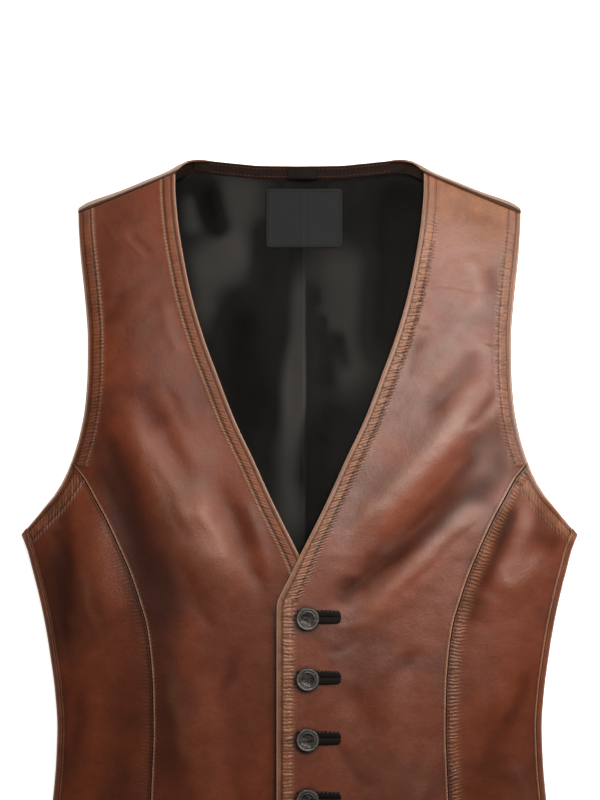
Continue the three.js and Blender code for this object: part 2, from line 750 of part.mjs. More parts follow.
// Button: a turned disc with a raised rim, a ring inside it and a dished middle
function buttonShape() {
  const profile = [
    [0, 0],
    [6.5, 0],
    [9.2, 0.9],
    [BUTTON_RADIUS, 2.1],
    [9.7, 3.4],
    [8.6, 3.9],
    [7.4, 3.2],
    [6.2, 3.2],
    [5, 2.5],
    [0, 2.1],
  ].map(([radius, height]) => new THREE.Vector2(radius, height));
  return new THREE.LatheGeometry(profile, BUTTON_SEGMENTS);
}

// Bound buttonhole: a thin welt on the left front, from under a button outwards
function buttonhole(buttonDrop) {
  const rows = 5;
  const columns = 12;
  return gridWall(rows, columns, (r, c) => {
    const out = mix(WELT.start, WELT.end, c / (columns - 1));
    const drop = buttonDrop - WELT.above + WELT.width * (r / (rows - 1) - 0.5);
    const base = frontHeight(1, out, drop) + WELT.clearance;
    return [place(out, drop, base + WELT.thickness), place(out, drop, base)];
  });
}

// Top of the buttonhole under a button, with the button clear of it
function buttonSeat(drop) {
  const ring = [0, 1, 2, 3, 4, 5, 6, 7].map((i) => (i * Math.PI) / 4);
  const heights = ring.map((angle) => frontHeight(
    1,
    BUTTON_OUT + 6.5 * Math.cos(angle),
    drop + 6.5 * Math.sin(angle),
  ));
  return Math.max(...heights) + WELT.clearance + WELT.thickness + GAP;
}

// Materials
const leather = new THREE.MeshStandardMaterial({ color: 0x6a3a26, roughness: 0.5, metalness: 0 });
const lining = new THREE.MeshStandardMaterial({ color: 0x1f1a1a, roughness: 0.45, metalness: 0 });
const facing = new THREE.MeshStandardMaterial({ color: 0x3d2a22, roughness: 0.55, metalness: 0 });
const tape = new THREE.MeshStandardMaterial({ color: 0x151314, roughness: 0.8, metalness: 0 });
const woven = new THREE.MeshStandardMaterial({ color: 0x3a3739, roughness: 0.75, metalness: 0 });
const horn = new THREE.MeshStandardMaterial({ color: 0x2c2928, roughness: 0.3, metalness: 0.1 });

function piece(name, geometry, material) {
  const mesh = new THREE.Mesh(geometry, material);
  mesh.name = name;
  return mesh;
}

const vest = new THREE.Group();
vest.add(piece('back', backPanel(), leather));
vest.add(piece('front_left', frontPanel(1), leather));
vest.add(piece('front_right', frontPanel(-1), leather));
vest.add(piece('side_front_left', sideFrontPanel(1), leather));
vest.add(piece('side_front_right', sideFrontPanel(-1), leather));
vest.add(piece('back_lining', backLining(), lining));
vest.add(piece('neck_facing', neckFacing(), facing));
vest.add(piece('label', label(), woven));
vest.add(piece('hanger_loop', hangerLoop(), tape));
for (let i = 0; i < BUTTON_COUNT; i += 1) {
  const drop = BUTTON_FIRST_DROP + i * BUTTON_PITCH;
  vest.add(piece(`buttonhole_${i + 1}`, buttonhole(drop), tape));
  const button = piece(`button_${i + 1}`, buttonShape(), horn);
  button.rotation.x = Math.PI / 2;
  button.position.copy(place(BUTTON_OUT, drop, buttonSeat(drop)));
  vest.add(button);
}

export default vest;
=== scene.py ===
import math
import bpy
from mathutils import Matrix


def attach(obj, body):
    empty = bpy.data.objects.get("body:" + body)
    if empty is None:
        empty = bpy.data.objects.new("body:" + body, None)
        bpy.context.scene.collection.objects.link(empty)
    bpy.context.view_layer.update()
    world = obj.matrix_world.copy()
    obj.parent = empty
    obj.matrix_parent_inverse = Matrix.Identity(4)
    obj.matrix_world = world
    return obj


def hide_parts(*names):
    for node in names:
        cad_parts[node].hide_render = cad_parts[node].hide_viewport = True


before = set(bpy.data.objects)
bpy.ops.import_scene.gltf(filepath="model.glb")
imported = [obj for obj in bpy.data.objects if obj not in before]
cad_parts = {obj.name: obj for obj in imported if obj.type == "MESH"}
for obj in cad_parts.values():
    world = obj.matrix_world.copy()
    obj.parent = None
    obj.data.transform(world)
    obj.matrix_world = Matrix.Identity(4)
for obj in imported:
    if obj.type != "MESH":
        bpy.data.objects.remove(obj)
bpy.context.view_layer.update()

from types import SimpleNamespace

import bmesh
import bpy
import numpy as np
from mathutils import Quaternion, Matrix, Vector

bl_info = {
    "name": "Leather vest",
    "version": (1, 0, 0),
    "blender": (4, 5, 0),
    "location": "View3D > Sidebar > Vest",
    "description": "Dresses a laid-out leather vest with leather, satin, sewing and buttons",
    "category": "Object",
}

# All tables are in millimetres. "out" is the distance from the centre line and "drop" the
# distance down from the top of the neck. The wearer's left side is at +X.
MM = 0.001
LENGTH = 600.0
LEATHER = 1.6
LINING = 1.0
GAP = 0.3
FOLD_RADIUS = 5.0
FOLD_TOP = 2 * FOLD_RADIUS
QUARTER = FOLD_RADIUS * math.pi / 2
NECK_OUT = 107.2
NECK_FOLD_OUT = 96.0
NECK_LIFT_OUT = 62.0
TIP_OUT = 190.9
TIP_DROP = 42.0
NECK_SEAM_DROP = 12.2
TIP_SEAM_DROP = TIP_DROP + FOLD_RADIUS
UNDERARM_DROP = 325.0
UNDERARM_RISE = 4.0
SIDE_TOP_DROP = 319.0
SEAM_JOIN_DROP = 263.0
V_BOTTOM_DROP = 390.0
FRONT_HEM_DROP = 600.0
PRINCESS_HEM_DROP = 595.7
SIDE_HEM_DROP = 588.0


def mix(low, high, part):
    return low + (high - low) * part


def smooth(part):
    t = np.clip(part, 0, 1)
    return t * t * (3 - 2 * t)


def bell(distance, width):
    return np.exp(-0.5 * (distance / width) ** 2)


def curve(rows):
    """A smooth curve through a table of places and values, with no overshoot."""
    x, y = np.array(rows, float).T
    slope = np.diff(y) / np.diff(x)
    tangent = np.concatenate([slope[:1], slope])
    before, after = slope[:-1], slope[1:]
    same = before * after > 0
    tangent[1:-1] = np.where(same, 2 * before * after / np.where(same, before + after, 1), 0)
    tangent[-1] = slope[-1]

    def at(value):
        spot = np.clip(value, x[0], x[-1])
        i = np.clip(np.searchsorted(x, spot) - 1, 0, len(x) - 2)
        step = x[i + 1] - x[i]
        t = (spot - x[i]) / step
        ease = t * t * (3 - 2 * t)
        bend = tangent[i] * (1 - t) - tangent[i + 1] * t
        return mix(y[i], y[i + 1], ease) + step * t * (1 - t) * bend

    return at


# drop, out
front_edge = curve((
    (12.5, 107.2), (22, 107.2), (50, 105.3), (82, 100.6), (117, 93.5), (155, 82.5), (185, 71.5),
    (224.5, 56.3), (260.5, 39.4), (297, 22.8), (342, 0.3), (361, -9), (374, -15.7), (382.5, -19.3),
    (390, -20), (600, -20),
))
# out, drop
top_line = curve((
    (0, 5.4), (34, 5), (52, 3.4), (70, 1.6), (86, 0), (96, 1.2), (107.5, 6.5), (114.8, 10.8),
    (128.6, 16.3), (156, 27.5), (183.6, 37.4), (190.9, 42),
))
# drop, out
armhole = curve((
    (42, 190.9), (60, 190.5), (88, 188.2), (118, 185), (156.5, 182.3), (182, 182.5), (212, 184.5),
    (237, 189), (263, 197), (285.5, 207.7), (303, 222), (325, 240.5),
))
# drop, out
side = curve((
    (325, 240.5), (337, 235.6), (350, 232.2), (375, 225.8), (401, 220.2), (427, 215.9),
    (460, 211.5), (490, 209.5), (520, 210.5), (560, 214), (600, 218),
))
# drop, out
princess = curve((
    (263, 197), (275, 186.5), (292, 176.5), (312, 165.5), (336, 154.5), (357, 145.5), (379, 138),
    (401.5, 131.5), (427, 128), (455, 126), (490, 125.5), (530, 127), (600, 130.5),
))
# drop, height of the outer face along the front edge
edge_height = curve((
    (12.5, 10), (50, 9.2), (110, 8.4), (200, 8), (300, 8.6), (390, 10), (460, 11), (530, 11),
    (600, 9.5),
))
# drop, height of the outer face along the armhole and the side seam
outer_height = curve((
    (42, 10), (60, 9.2), (100, 7), (150, 6.4), (210, 6.6), (263, 7.8), (300, 9.4), (319, 10),
))
# distance below the shoulder seam, rise of the front between its edges
crown = curve((
    (0, 0), (30, 1.5), (100, 4.5), (200, 8), (300, 10), (420, 10), (520, 6.5), (600, 3),
))

# Folds: out, drop, to out, to drop, width, rise
LEFT_FOLDS = (
    (166, 229, 39, 384, 9, -4.5), (155, 208, 43, 328, 11, 3), (155, 298, 45, 404, 10, 3),
    (159, 167, 104, 225, 7, -2.5), (190, 285, 134, 414, 6, 1.5), (190, 291, 150, 390, 7, -2.5),
    (168, 371, 215, 346, 12, 2), (172, 470, 158, 575, 12, -2), (78, 430, 92, 585, 14, 2.2),
    (40, 455, 70, 500, 8, -1.4),
)
RIGHT_FOLDS = (
    (174, 217, 130, 380, 11, -3.5), (156, 208, 67, 380, 12, 3), (137, 208, 86, 290, 8, -2),
    (104, 230, 61, 371, 10, 2.5), (73, 277, 25, 378, 7, -2.5), (47, 294, 22, 371, 6, 1.8),
    (201, 294, 204, 414, 8, -3), (178, 311, 161, 397, 9, 2), (150, 440, 164, 580, 13, -2.2),
    (88, 450, 74, 590, 13, 1.8),
)
LINING_FOLDS = (
    (3, 70, 4, 330, 6, 2.2), (-10, 190, -14, 350, 10, 1.6), (52, 45, 36, 230, 9, 1.8),
    (-74, 15, -46, 130, 13, 1.8), (80, 20, 74, 150, 8, 1.2),
)

# Painted sheen and shade of the satin: light and dark stretches, in the same columns
LINING_PAINTED_SHEEN = (
    (-48, 0, -66, 112, 22, 0.8), (-60, 60, -80, 145, 13, 0.5), (-84, 18, -66, 70, 7, -1.1),
    (-88, 70, -78, 170, 8, 0.4), (-30, 50, -27, 120, 9, -0.7), (-50, 115, -40, 245, 15, -1),
    (0, 90, -4, 245, 6, 0.85), (-5, 160, -9, 350, 12, 0.85), (40, 60, 33, 215, 21, 0.75),
    (13, 110, 15, 126, 2.2, -0.7), (21, 134, 16, 162, 3, -0.6), (34, 148, 41, 184, 4, -0.4),
    (17, 215, 11, 290, 10, -0.8), (86, 60, 73, 175, 15, -1.2), (92, 14, 98, 80, 22, -1.3),
    (8, 14, 4, 24, 2, -0.5), (-97, 28, -91, 66, 6, 0.6), (27, 145, 22, 200, 7, -0.5),
)

# Finer creases on top of those folds, in the same columns
LEFT_CREASES = (
    (112, 111, 166, 114, 0.9, -0.16), (158, 157, 174, 163, 1, -0.25), (98, 143, 112, 147, 1, -0.3),
    (165, 90, 170, 116, 3.5, -0.4), (150, 80, 158, 130, 5, 0.6), (104, 150, 90, 190, 4, -0.6),
    (160, 238, 70, 338, 3.4, -0.9), (120, 300, 62, 352, 3, 0.7), (100, 330, 40, 374, 2.6, -0.6),
    (150, 314, 78, 384, 2.8, -0.7), (176, 200, 140, 232, 3.4, -0.9), (180, 190, 166, 226, 3, 0.6),
    (60, 300, 30, 345, 3.5, 0.6), (52, 410, 24, 428, 3, -0.5), (30, 404, 64, 398, 3, 0.5),
    (205, 330, 178, 366, 5, -0.5), (196, 296, 176, 330, 5, 0.3), (100, 420, 60, 470, 5, -0.7),
    (120, 500, 96, 560, 5, 0.7), (200, 440, 176, 500, 5, -0.7), (186, 520, 200, 570, 5, 0.6),
    (30, 500, 62, 545, 4, -0.6), (150, 214, 120, 236, 1, -0.25), (128, 262, 96, 290, 1.1, -0.25),
)
RIGHT_CREASES = (
    (169, 54, 158, 68, 1.2, 0.25), (151, 65, 135, 85, 1.4, 0.35), (146, 62, 128, 84, 2.5, -0.5),
    (150, 110, 172, 150, 3.5, -0.6), (120, 120, 104, 170, 4, 0.6), (132, 250, 96, 330, 3.2, -0.7),
    (88, 300, 60, 350, 3, 0.6), (60, 322, 34, 366, 2.6, -0.7), (100, 350, 72, 412, 4, -0.6),
    (116, 196, 92, 236, 3.2, -0.6), (176, 236, 150, 300, 3.4, 0.7), (214, 318, 196, 352, 3.2, -0.7),
    (190, 350, 176, 410, 3.4, 0.7), (214, 380, 196, 430, 3.4, -0.6), (50, 420, 76, 480, 5, -0.7),
    (112, 440, 96, 520, 5, 0.7), (60, 520, 40, 580, 5, -0.6), (184, 450, 196, 520, 5, -0.7),
)

# Painted shade and painted highlights: darker and lighter stretches of the leather where shade and
# light fall, in the same columns
LEFT_PAINTED_SHADING = (
    (147, 234, 62, 333, 10, 1.2), (178, 258, 150, 300, 9, -0.6), (152, 326, 142, 405, 6, -0.6),
    (129, 333, 43, 406, 10, 0.7), (112, 92, 158, 66, 20, 0.3), (95, 160, 80, 190, 13, 0.3),
    (160, 272, 66, 362, 9, -0.95), (188, 292, 153, 377, 4.5, -0.8), (168, 217, 172, 268, 8, -0.5),
    (228, 306, 200, 300, 10, -0.6), (196, 318, 226, 336, 9, -0.6), (48, 358, 36, 386, 12, -0.8),
    (158, 376, 150, 400, 10, -0.5), (198, 402, 196, 560, 12, -0.3), (178, 300, 158, 330, 9, -0.5),
    (12, 150, 60, 330, 9, -0.2), (70, 480, 74, 580, 16, 0.4),
)
RIGHT_PAINTED_SHADING = (
    (138, 190, 118, 236, 10, -0.6), (172, 236, 116, 398, 17, -1.05), (222, 305, 200, 300, 12, -0.7),
    (126, 340, 108, 560, 17, -0.8), (160, 226, 104, 266, 7, 0.35), (94, 284, 48, 368, 13, 0.7),
    (43, 328, 25, 371, 7, 0.3), (159, 88, 150, 118, 10, 0.3), (120, 112, 112, 128, 12, -0.2),
    (210, 322, 206, 430, 13, -0.9), (206, 430, 200, 560, 14, -0.5), (184, 316, 156, 404, 8, 0.6),
    (80, 440, 60, 570, 14, 0.4),
)

# Places of the stitched edge, in from the edge: V and armhole, then buttoned edge
TURNED_INSETS = (
    0, 0.5, 1, 1.8, 3.2, 3.8, 4.4, 5.1, 6, 6.9, 7.8, 8.7, 9.6, 10.3, 10.9, 11.5, 12.3, 13.6, 15.5,
)
BUTTONED_INSETS = (
    0, 0.7, 1.4, 2.4, 3.8, 4.9, 5.6, 6.6, 7.8, 9, 10.2, 11.3, 12.3, 12.9, 13.4, 14, 15, 16.6, 19,
)
FIRST_ROW = 5
SECOND_ROW = 14
ROW_INSETS = (TURNED_INSETS[FIRST_ROW], TURNED_INSETS[SECOND_ROW])
# Stands for the distance from an edge that a point isn't near
FAR = 60.0
# How far in from an edge its relief and tones reach
EDGE_REACH = 16
# Half the gap of the princess seam, measured level, because the seam slants
SEAM_HALF = 0.65 * GAP
LAYERS = ("wear", "grime", "pale", "gather")

BUTTON_OUT = 7.0
BUTTON_DROPS = (396, 448, 500, 552)
WELT_CLEARANCE = 0.6
WELT_THICKNESS = 1.0
# Just past the edge of the upper front, which lies over the lower one
OVERLAP_OUT = 22

LEFT = 1
RIGHT = -1
# The left front lies over the right one and is gathered more. Its stronger sheen and paler edges are
# painted light, for the brighter light that falls on that side.
SIDES = {
    LEFT: SimpleNamespace(
        name="left", rests="leather_front_right", folds=LEFT_FOLDS, creases=LEFT_CREASES,
        painted_shading_table=LEFT_PAINTED_SHADING, seed=3, lift=2.8, lift_width=33, polish=0.85, gain=0.32, beside=-0.3,
        lightened=1, worn=0.95, gather=1, ridge=0, side_gather=0.75, side_worn=0.8, side_ridge=0),
    RIGHT: SimpleNamespace(
        name="right", rests="satin_lining", folds=RIGHT_FOLDS, creases=RIGHT_CREASES,
        painted_shading_table=RIGHT_PAINTED_SHADING, seed=8, lift=-0.7, lift_width=23, polish=0.38, gain=0.15, beside=0.05,
        lightened=0, worn=0.45, gather=0.45, ridge=0.8, side_gather=0.15, side_worn=0.35,
        side_ridge=0.15),
}


def slope_of(line, drop):
    return (line(drop + 1) - line(drop - 1)) / 2


def shoulder_seam(out):
    part = (np.clip(out, NECK_OUT, TIP_OUT) - NECK_OUT) / (TIP_OUT - NECK_OUT)
    return mix(NECK_SEAM_DROP, TIP_SEAM_DROP, part)


def outer_limit(drop):
    return np.where(drop < SIDE_TOP_DROP, armhole(drop), side(drop) - FOLD_RADIUS)


def folds(table, out, drop):
    """Sum of soft folds, each one fading towards its two ends."""
    total = np.zeros(np.broadcast(out, drop).shape)
    for from_out, from_drop, to_out, to_drop, width, rise in table:
        run_out, run_drop = to_out - from_out, to_drop - from_drop
        length = math.hypot(run_out, run_drop)
        part = ((out - from_out) * run_out + (drop - from_drop) * run_drop) / length**2
        off = ((out - from_out) * run_drop - (drop - from_drop) * run_out) / length
        ends = smooth((part + 0.1) / 0.35) * smooth((1.1 - part) / 0.35)
        total = total + rise * ends * bell(off, width)
    return total


def ripple(out, drop, seed, waves=16, shortest=16.0, longest=60.0):
    """A gentle uneven surface, between about -1 and 1, from a few slanting waves."""
    draw = np.random.RandomState(seed)
    total = np.zeros(np.broadcast(out, drop).shape)
    for _ in range(waves):
        angle = draw.uniform(0, math.pi)
        length = draw.uniform(shortest, longest)
        phase = draw.uniform(0, 2 * math.pi)
        run = out * math.cos(angle) + drop * math.sin(angle)
        total = total + np.sin(2 * math.pi * run / length + phase)
    return total / math.sqrt(waves)


def front_height(sign, out, drop):
    """Height of the smooth outer face of a front, as the solids have it."""
    look = SIDES[sign]
    inner = np.maximum(0, front_edge(drop))
    outer = outer_limit(drop)
    across = np.clip((out - inner) / (outer - inner), 0, 1)
    below = drop - shoulder_seam(out)
    level = mix(edge_height(drop), outer_height(drop), across)
    bulge = across**2 * (1 - across) * crown(below) * 27 / 4
    overlap = smooth((drop - 250) / 85)
    near_side = np.where(drop < SIDE_TOP_DROP, 1, smooth((outer - out) / 14))
    near_overlap = mix(1, smooth((out - OVERLAP_OUT) / 14), overlap)
    fold = folds(look.folds, out, drop)
    settled = mix(FOLD_TOP, level + bulge + fold * near_side * near_overlap, smooth(below / 25))
    # Held up softly where a fold would sink below the lowest face
    lowest = 5.6
    held = (settled + lowest + np.hypot(settled - lowest, 0.8)) / 2
    return held + overlap * look.lift * (1 - smooth((out - OVERLAP_OUT) / look.lift_width))


def crease_height(sign, out, drop):
    """Finer creases and unevenness that the solids leave out."""
    look = SIDES[sign]
    inner = np.maximum(0, front_edge(drop))
    calm = smooth((outer_limit(drop) - out) / 12) * smooth((out - inner + 4) / 16)
    calm = calm * smooth((drop - shoulder_seam(out)) / 18)
    bent_out, bent_drop = out + 1.2 * np.sin(drop / 6.3), drop + 1.4 * np.sin(out / 8.9)
    return calm * (folds(look.creases, bent_out, bent_drop) + 0.1 * ripple(out, drop, look.seed))


def stitch_dashes(along):
    return 0.7 + 0.3 * np.sin(2 * math.pi * along / 3.3)


def turned_edge(inset, along, gather, worn, ridge=0.0, inner_row=1.0):
    """Relief and tones of a turned edge with two rows of stitches.

    A ridge is a swelling past the second row of a lightly sewn edge, with a painted highlight along it
    and painted shade in the groove before it.
    """
    first, second = ROW_INSETS
    past = inset - second
    roll = np.clip(1 - inset / 1.7, 0, 1) ** 2
    between = smooth((inset - first + 0.3) / 1.8) * (1 - smooth((past - 0.2) / 1.2))
    ticks = bell(past - 0.5, 1.7) * inner_row
    swell = 0.25 * gather * np.sin(along / 1.15 + 2 * np.sin(along / 19)) * between
    band = 1 - smooth((past + 0.5) / 2.5)
    # Painted highlight along the ridge
    lit_ridge = ridge * stitch_dashes(along) * bell(past - 1.4, 0.7)
    relief = 0.7 * (1 - smooth(past / 2.6)) - 1.2 * roll + swell
    relief = relief - 0.3 * bell(inset - first, 0.45) - 0.5 * bell(past + 0.4, 0.7)
    grime = 0.85 * bell(inset - first, 0.5) + 0.35 * bell(past + 0.3, 0.7) * inner_row
    return {
        "relief": relief + 0.25 * lit_ridge,
        "wear": worn * 0.55 * band + 0.3 * (1 - gather) * bell(past - 0.8, 0.55) + lit_ridge,
        # Painted shade in the groove before the ridge
        "grime": grime + 0.6 * ridge * bell(past + 0.3, 0.8),
        "along": along + 0 * inset,
        "pale": np.clip(1.25 - inset / 0.9, 0, 1) + 0.35 * lit_ridge,
        "gather": gather * np.maximum(0.55 * between, ticks),
    }


def seam_edge(inset, along, gather, worn):
    """Relief and tones beside a plain seam, gathered on one side of it."""
    plain = gather == 0
    swell = bell(inset - 5.5, 3.4)
    relief = gather * swell - 0.3 * np.clip(1 - inset / 0.8, 0, 1) ** 2
    grime = 0.5 * np.clip(1 - inset / 0.4, 0, 1) + plain * 0.4 * bell(inset - 2.3, 0.5)
    lightened = plain * stitch_dashes(along) * bell(inset - 0.9, 0.55)
    return {
        "relief": relief + plain * (0.2 * bell(inset - 1.1, 0.6) - 0.25 * bell(inset - 2.5, 0.5)),
        "wear": worn * (lightened + 0.4 * gather * swell),
        "grime": grime + (1 - plain) * 0.5 * bell(inset - 1.6, 0.8),
        "along": along + 0 * inset,
        "pale": plain * worn * 0.3 * bell(inset - 0.7, 0.4),
        "gather": np.clip(0.75 * gather * swell, 0, 1),
    }


def join_edges(base, other, where):
    """Two edges' relief and tones, the other one only where a mask is above 0."""
    joined = {name: np.maximum(base[name], other[name] * where) for name in LAYERS}
    relief, extra = base["relief"], other["relief"] * where
    lowest = np.minimum(relief, extra)
    joined["relief"] = np.where(lowest < -0.05, lowest, np.maximum(relief, extra))
    other_counts = other["gather"] * where > base["gather"]
    joined["along"] = np.where(other_counts, other["along"], base["along"])
    return joined


def join_hem(edges, level, out, worn):
    """Edges joined with the hem, which is turned and sewn with two rows."""
    from_hem = PRINCESS_HEM_DROP - level + 0 * out
    hem = turned_edge(from_hem, out, 0.4, 0.8 * worn)
    return join_edges(edges, hem, from_hem < EDGE_REACH)


def at_least(values, name, least):
    values[name] = np.maximum(values[name], least)


def dressed(sign, out, drop, edges):
    """Points of a piece in front, and the values that its colour is worked out from."""
    look = SIDES[sign]
    crease = crease_height(sign, out, drop)
    z = front_height(sign, out, drop) + edges["relief"] + crease
    fold = folds(look.folds, out, drop) / 2.5 + 1.2 * crease
    shade = folds(look.painted_shading_table, out, drop)
    values = {name: np.clip(edges[name], 0, 1) for name in LAYERS}
    # Painted highlight: the shoulder of the upper front is painted a lighter, warm tan where light
    # falls on it
    lightened = look.lightened * (1 - smooth((drop - shoulder_seam(out)) / 80))
    at_least(values, "wear", 0.55 * lightened)
    # Painted sheen: the upper front's sheen is set strong and the lower one's weak, for the brighter
    # light on that side; it rises on crests and painted highlights and falls in painted shade and on
    # the painted shoulder
    beside = smooth((out - princess(drop)) / 6) * (drop > SEAM_JOIN_DROP)
    level = look.polish + look.beside * beside - 0.3 * lightened
    lit = shade + 0.6 * fold
    polish = level + look.gain * (lit + np.minimum(0, lit))
    layers = {**values, "fold": fold, "along": edges["along"], "polish": polish, "shade": shade}
    return to_points(sign, out, drop, z), layers


def linear(code):
    """Linear colour of an sRGB hex code."""
    values = [int(code[i:i + 2], 16) / 255 for i in (1, 3, 5)]
    return [v / 12.92 if v <= 0.04045 else ((v + 0.055) / 1.055) ** 2.4 for v in values]


def colour(name, code, about):
    return bpy.props.FloatVectorProperty(
        name=name, description=about, subtype="COLOR", default=linear(code), min=0, max=1)


def length(name, value, about):
    return bpy.props.FloatProperty(
        name=name, description=about, unit="LENGTH", default=value * MM, min=0, precision=4)


class VestSizes(bpy.types.PropertyGroup):
    """Sizes of the leather, its sewing and its grain."""
    leather: length("Leather", LEATHER, "Thickness of the leather")
    stitch_pitch: length("Stitch pitch", 3.3, "Distance from one stitch to the next")
    stitch_length: length("Stitch length", 2.5, "Length of thread that shows in a stitch")
    thread: length("Thread", 0.55, "Thickness of the thread")
    pucker_pitch: length("Pucker pitch", 3.2, "Distance between puckers beside a seam")
    pucker_depth: length("Pucker depth", 1.0, "Depth of the puckers beside a seam")
    grain: length("Grain", 1.5, "Size of the grain cells of the leather")


class VestColours(bpy.types.PropertyGroup):
    """Colours of the leather, the lining, the thread and the buttons."""
    leather: colour("Leather", "#5c2d1a", "Main colour of the leather")
    # Also painted shade, in fold hollows and shaded stretches
    leather_dark: colour("Dark leather", "#281713", "Antiqued hollows of the leather")
    # Also painted highlight, on fold crests, the lit ridges and the upper front's shoulder
    leather_worn: colour("Worn leather", "#875c3b", "Rubbed edges and puckers")
    # Also painted highlight, on pucker crests, lit ridges and the back's shoulder tops
    edge: colour("Edge", "#9a8a7c", "Bare cut edge of the leather")
    # Also painted shade: pucker valleys, grooves, the back's shoulder seams, and the shadows of the
    # upper front's edge and of the buttons
    grime: colour("Grime", "#160a07", "Stitch holes and seams")
    lining: colour("Lining", "#090a0a", "Satin lining")
    # Painted sheen of the satin
    lining_sheen: colour("Light lining", "#2a2b2b", "Crests of the satin lining")
    facing: colour("Facing", "#140d0a", "Leather strip at the neck")
    label: colour("Label", "#1b1e20", "Bare woven label")
    tape: colour("Tape", "#0f0c0b", "Hanging loop and buttonholes")
    thread: colour("Thread", "#38201a", "Sewing thread")
    pale_thread: colour("Pale thread", "#3d362f", "Thread round the buttonholes")
    horn: colour("Horn", "#161617", "Buttons")
    # Also the painted highlight rings on the button rims
    horn_light: colour("Light horn", "#5f5e5c", "Rim and streaks of the buttons")
    floor: colour("Floor", "#f1efec", "Floor")


def add(tree, kind, inputs=None, **settings):
    """One node with its settings, and its inputs linked to sockets or set to values."""
    node = tree.nodes.new("ShaderNode" + kind)
    for name, value in settings.items():
        setattr(node, name, value)
    for name, value in (inputs or {}).items():
        socket = node.inputs[name]
        if isinstance(value, bpy.types.NodeSocket):
            tree.links.new(value, socket)
        elif socket.type == "RGBA":
            socket.default_value = (*value[:3], 1)
        else:
            socket.default_value = value
    return node


def finish_material(tree, base, rough, **inputs):
    surface = add(tree, "BsdfPrincipled", {"Base Color": base, "Roughness": rough, **{
        key.replace("_", " "): value for key, value in inputs.items()}})
    add(tree, "OutputMaterial", {"Surface": surface.outputs["BSDF"]})


def blend(tree, factor, first, second):
    """Mix of two colours by a factor."""
    return add(tree, "Mix", {0: factor, 6: first, 7: second}, data_type="RGBA",
               clamp_factor=True).outputs[2]


def spread(tree, value, low, high, to_low=0.0, to_high=1.0):
    """A value moved from one range to another and held inside it."""
    return add(tree, "MapRange", {
        "Value": value, "From Min": low, "From Max": high, "To Min": to_low, "To Max": to_high,
    }, interpolation_type="SMOOTHSTEP").outputs["Result"]


def tinted(tree, base, value, start, end, amount, tint):
    """A colour with some of another one mixed in, the more the nearer a value is to its end."""
    return blend(tree, spread(tree, value, start, end, 0, amount), base, tint)


def times(tint, factor):
    return [factor * part for part in tint]


def noise(tree, place, size, detail=3.0, rough=0.55, warp=0.0):
    """Noise whose largest patches are about "size" metres across."""
    return add(tree, "TexNoise", {
        "Vector": place, "Scale": 1 / size, "Detail": detail, "Roughness": rough,
        "Distortion": warp}).outputs["Fac"]


def wave(tree, place, scale, way, **inputs):
    return add(tree, "TexWave", {"Vector": place, "Scale": scale, **inputs},
               wave_type="BANDS", bands_direction=way).outputs["Fac"]


def bump(tree, height, distance, strength, before=None):
    inputs = {"Height": height, "Distance": distance, "Strength": strength}
    if before is not None:
        inputs["Normal"] = before
    return add(tree, "Bump", inputs).outputs["Normal"]


def value_of(tree, name):
    return add(tree, "Attribute", attribute_name=name).outputs["Fac"]


def maths(tree, how, first, second, clamp=False):
    return add(tree, "Math", {0: first, 1: second}, operation=how, use_clamp=clamp).outputs[0]


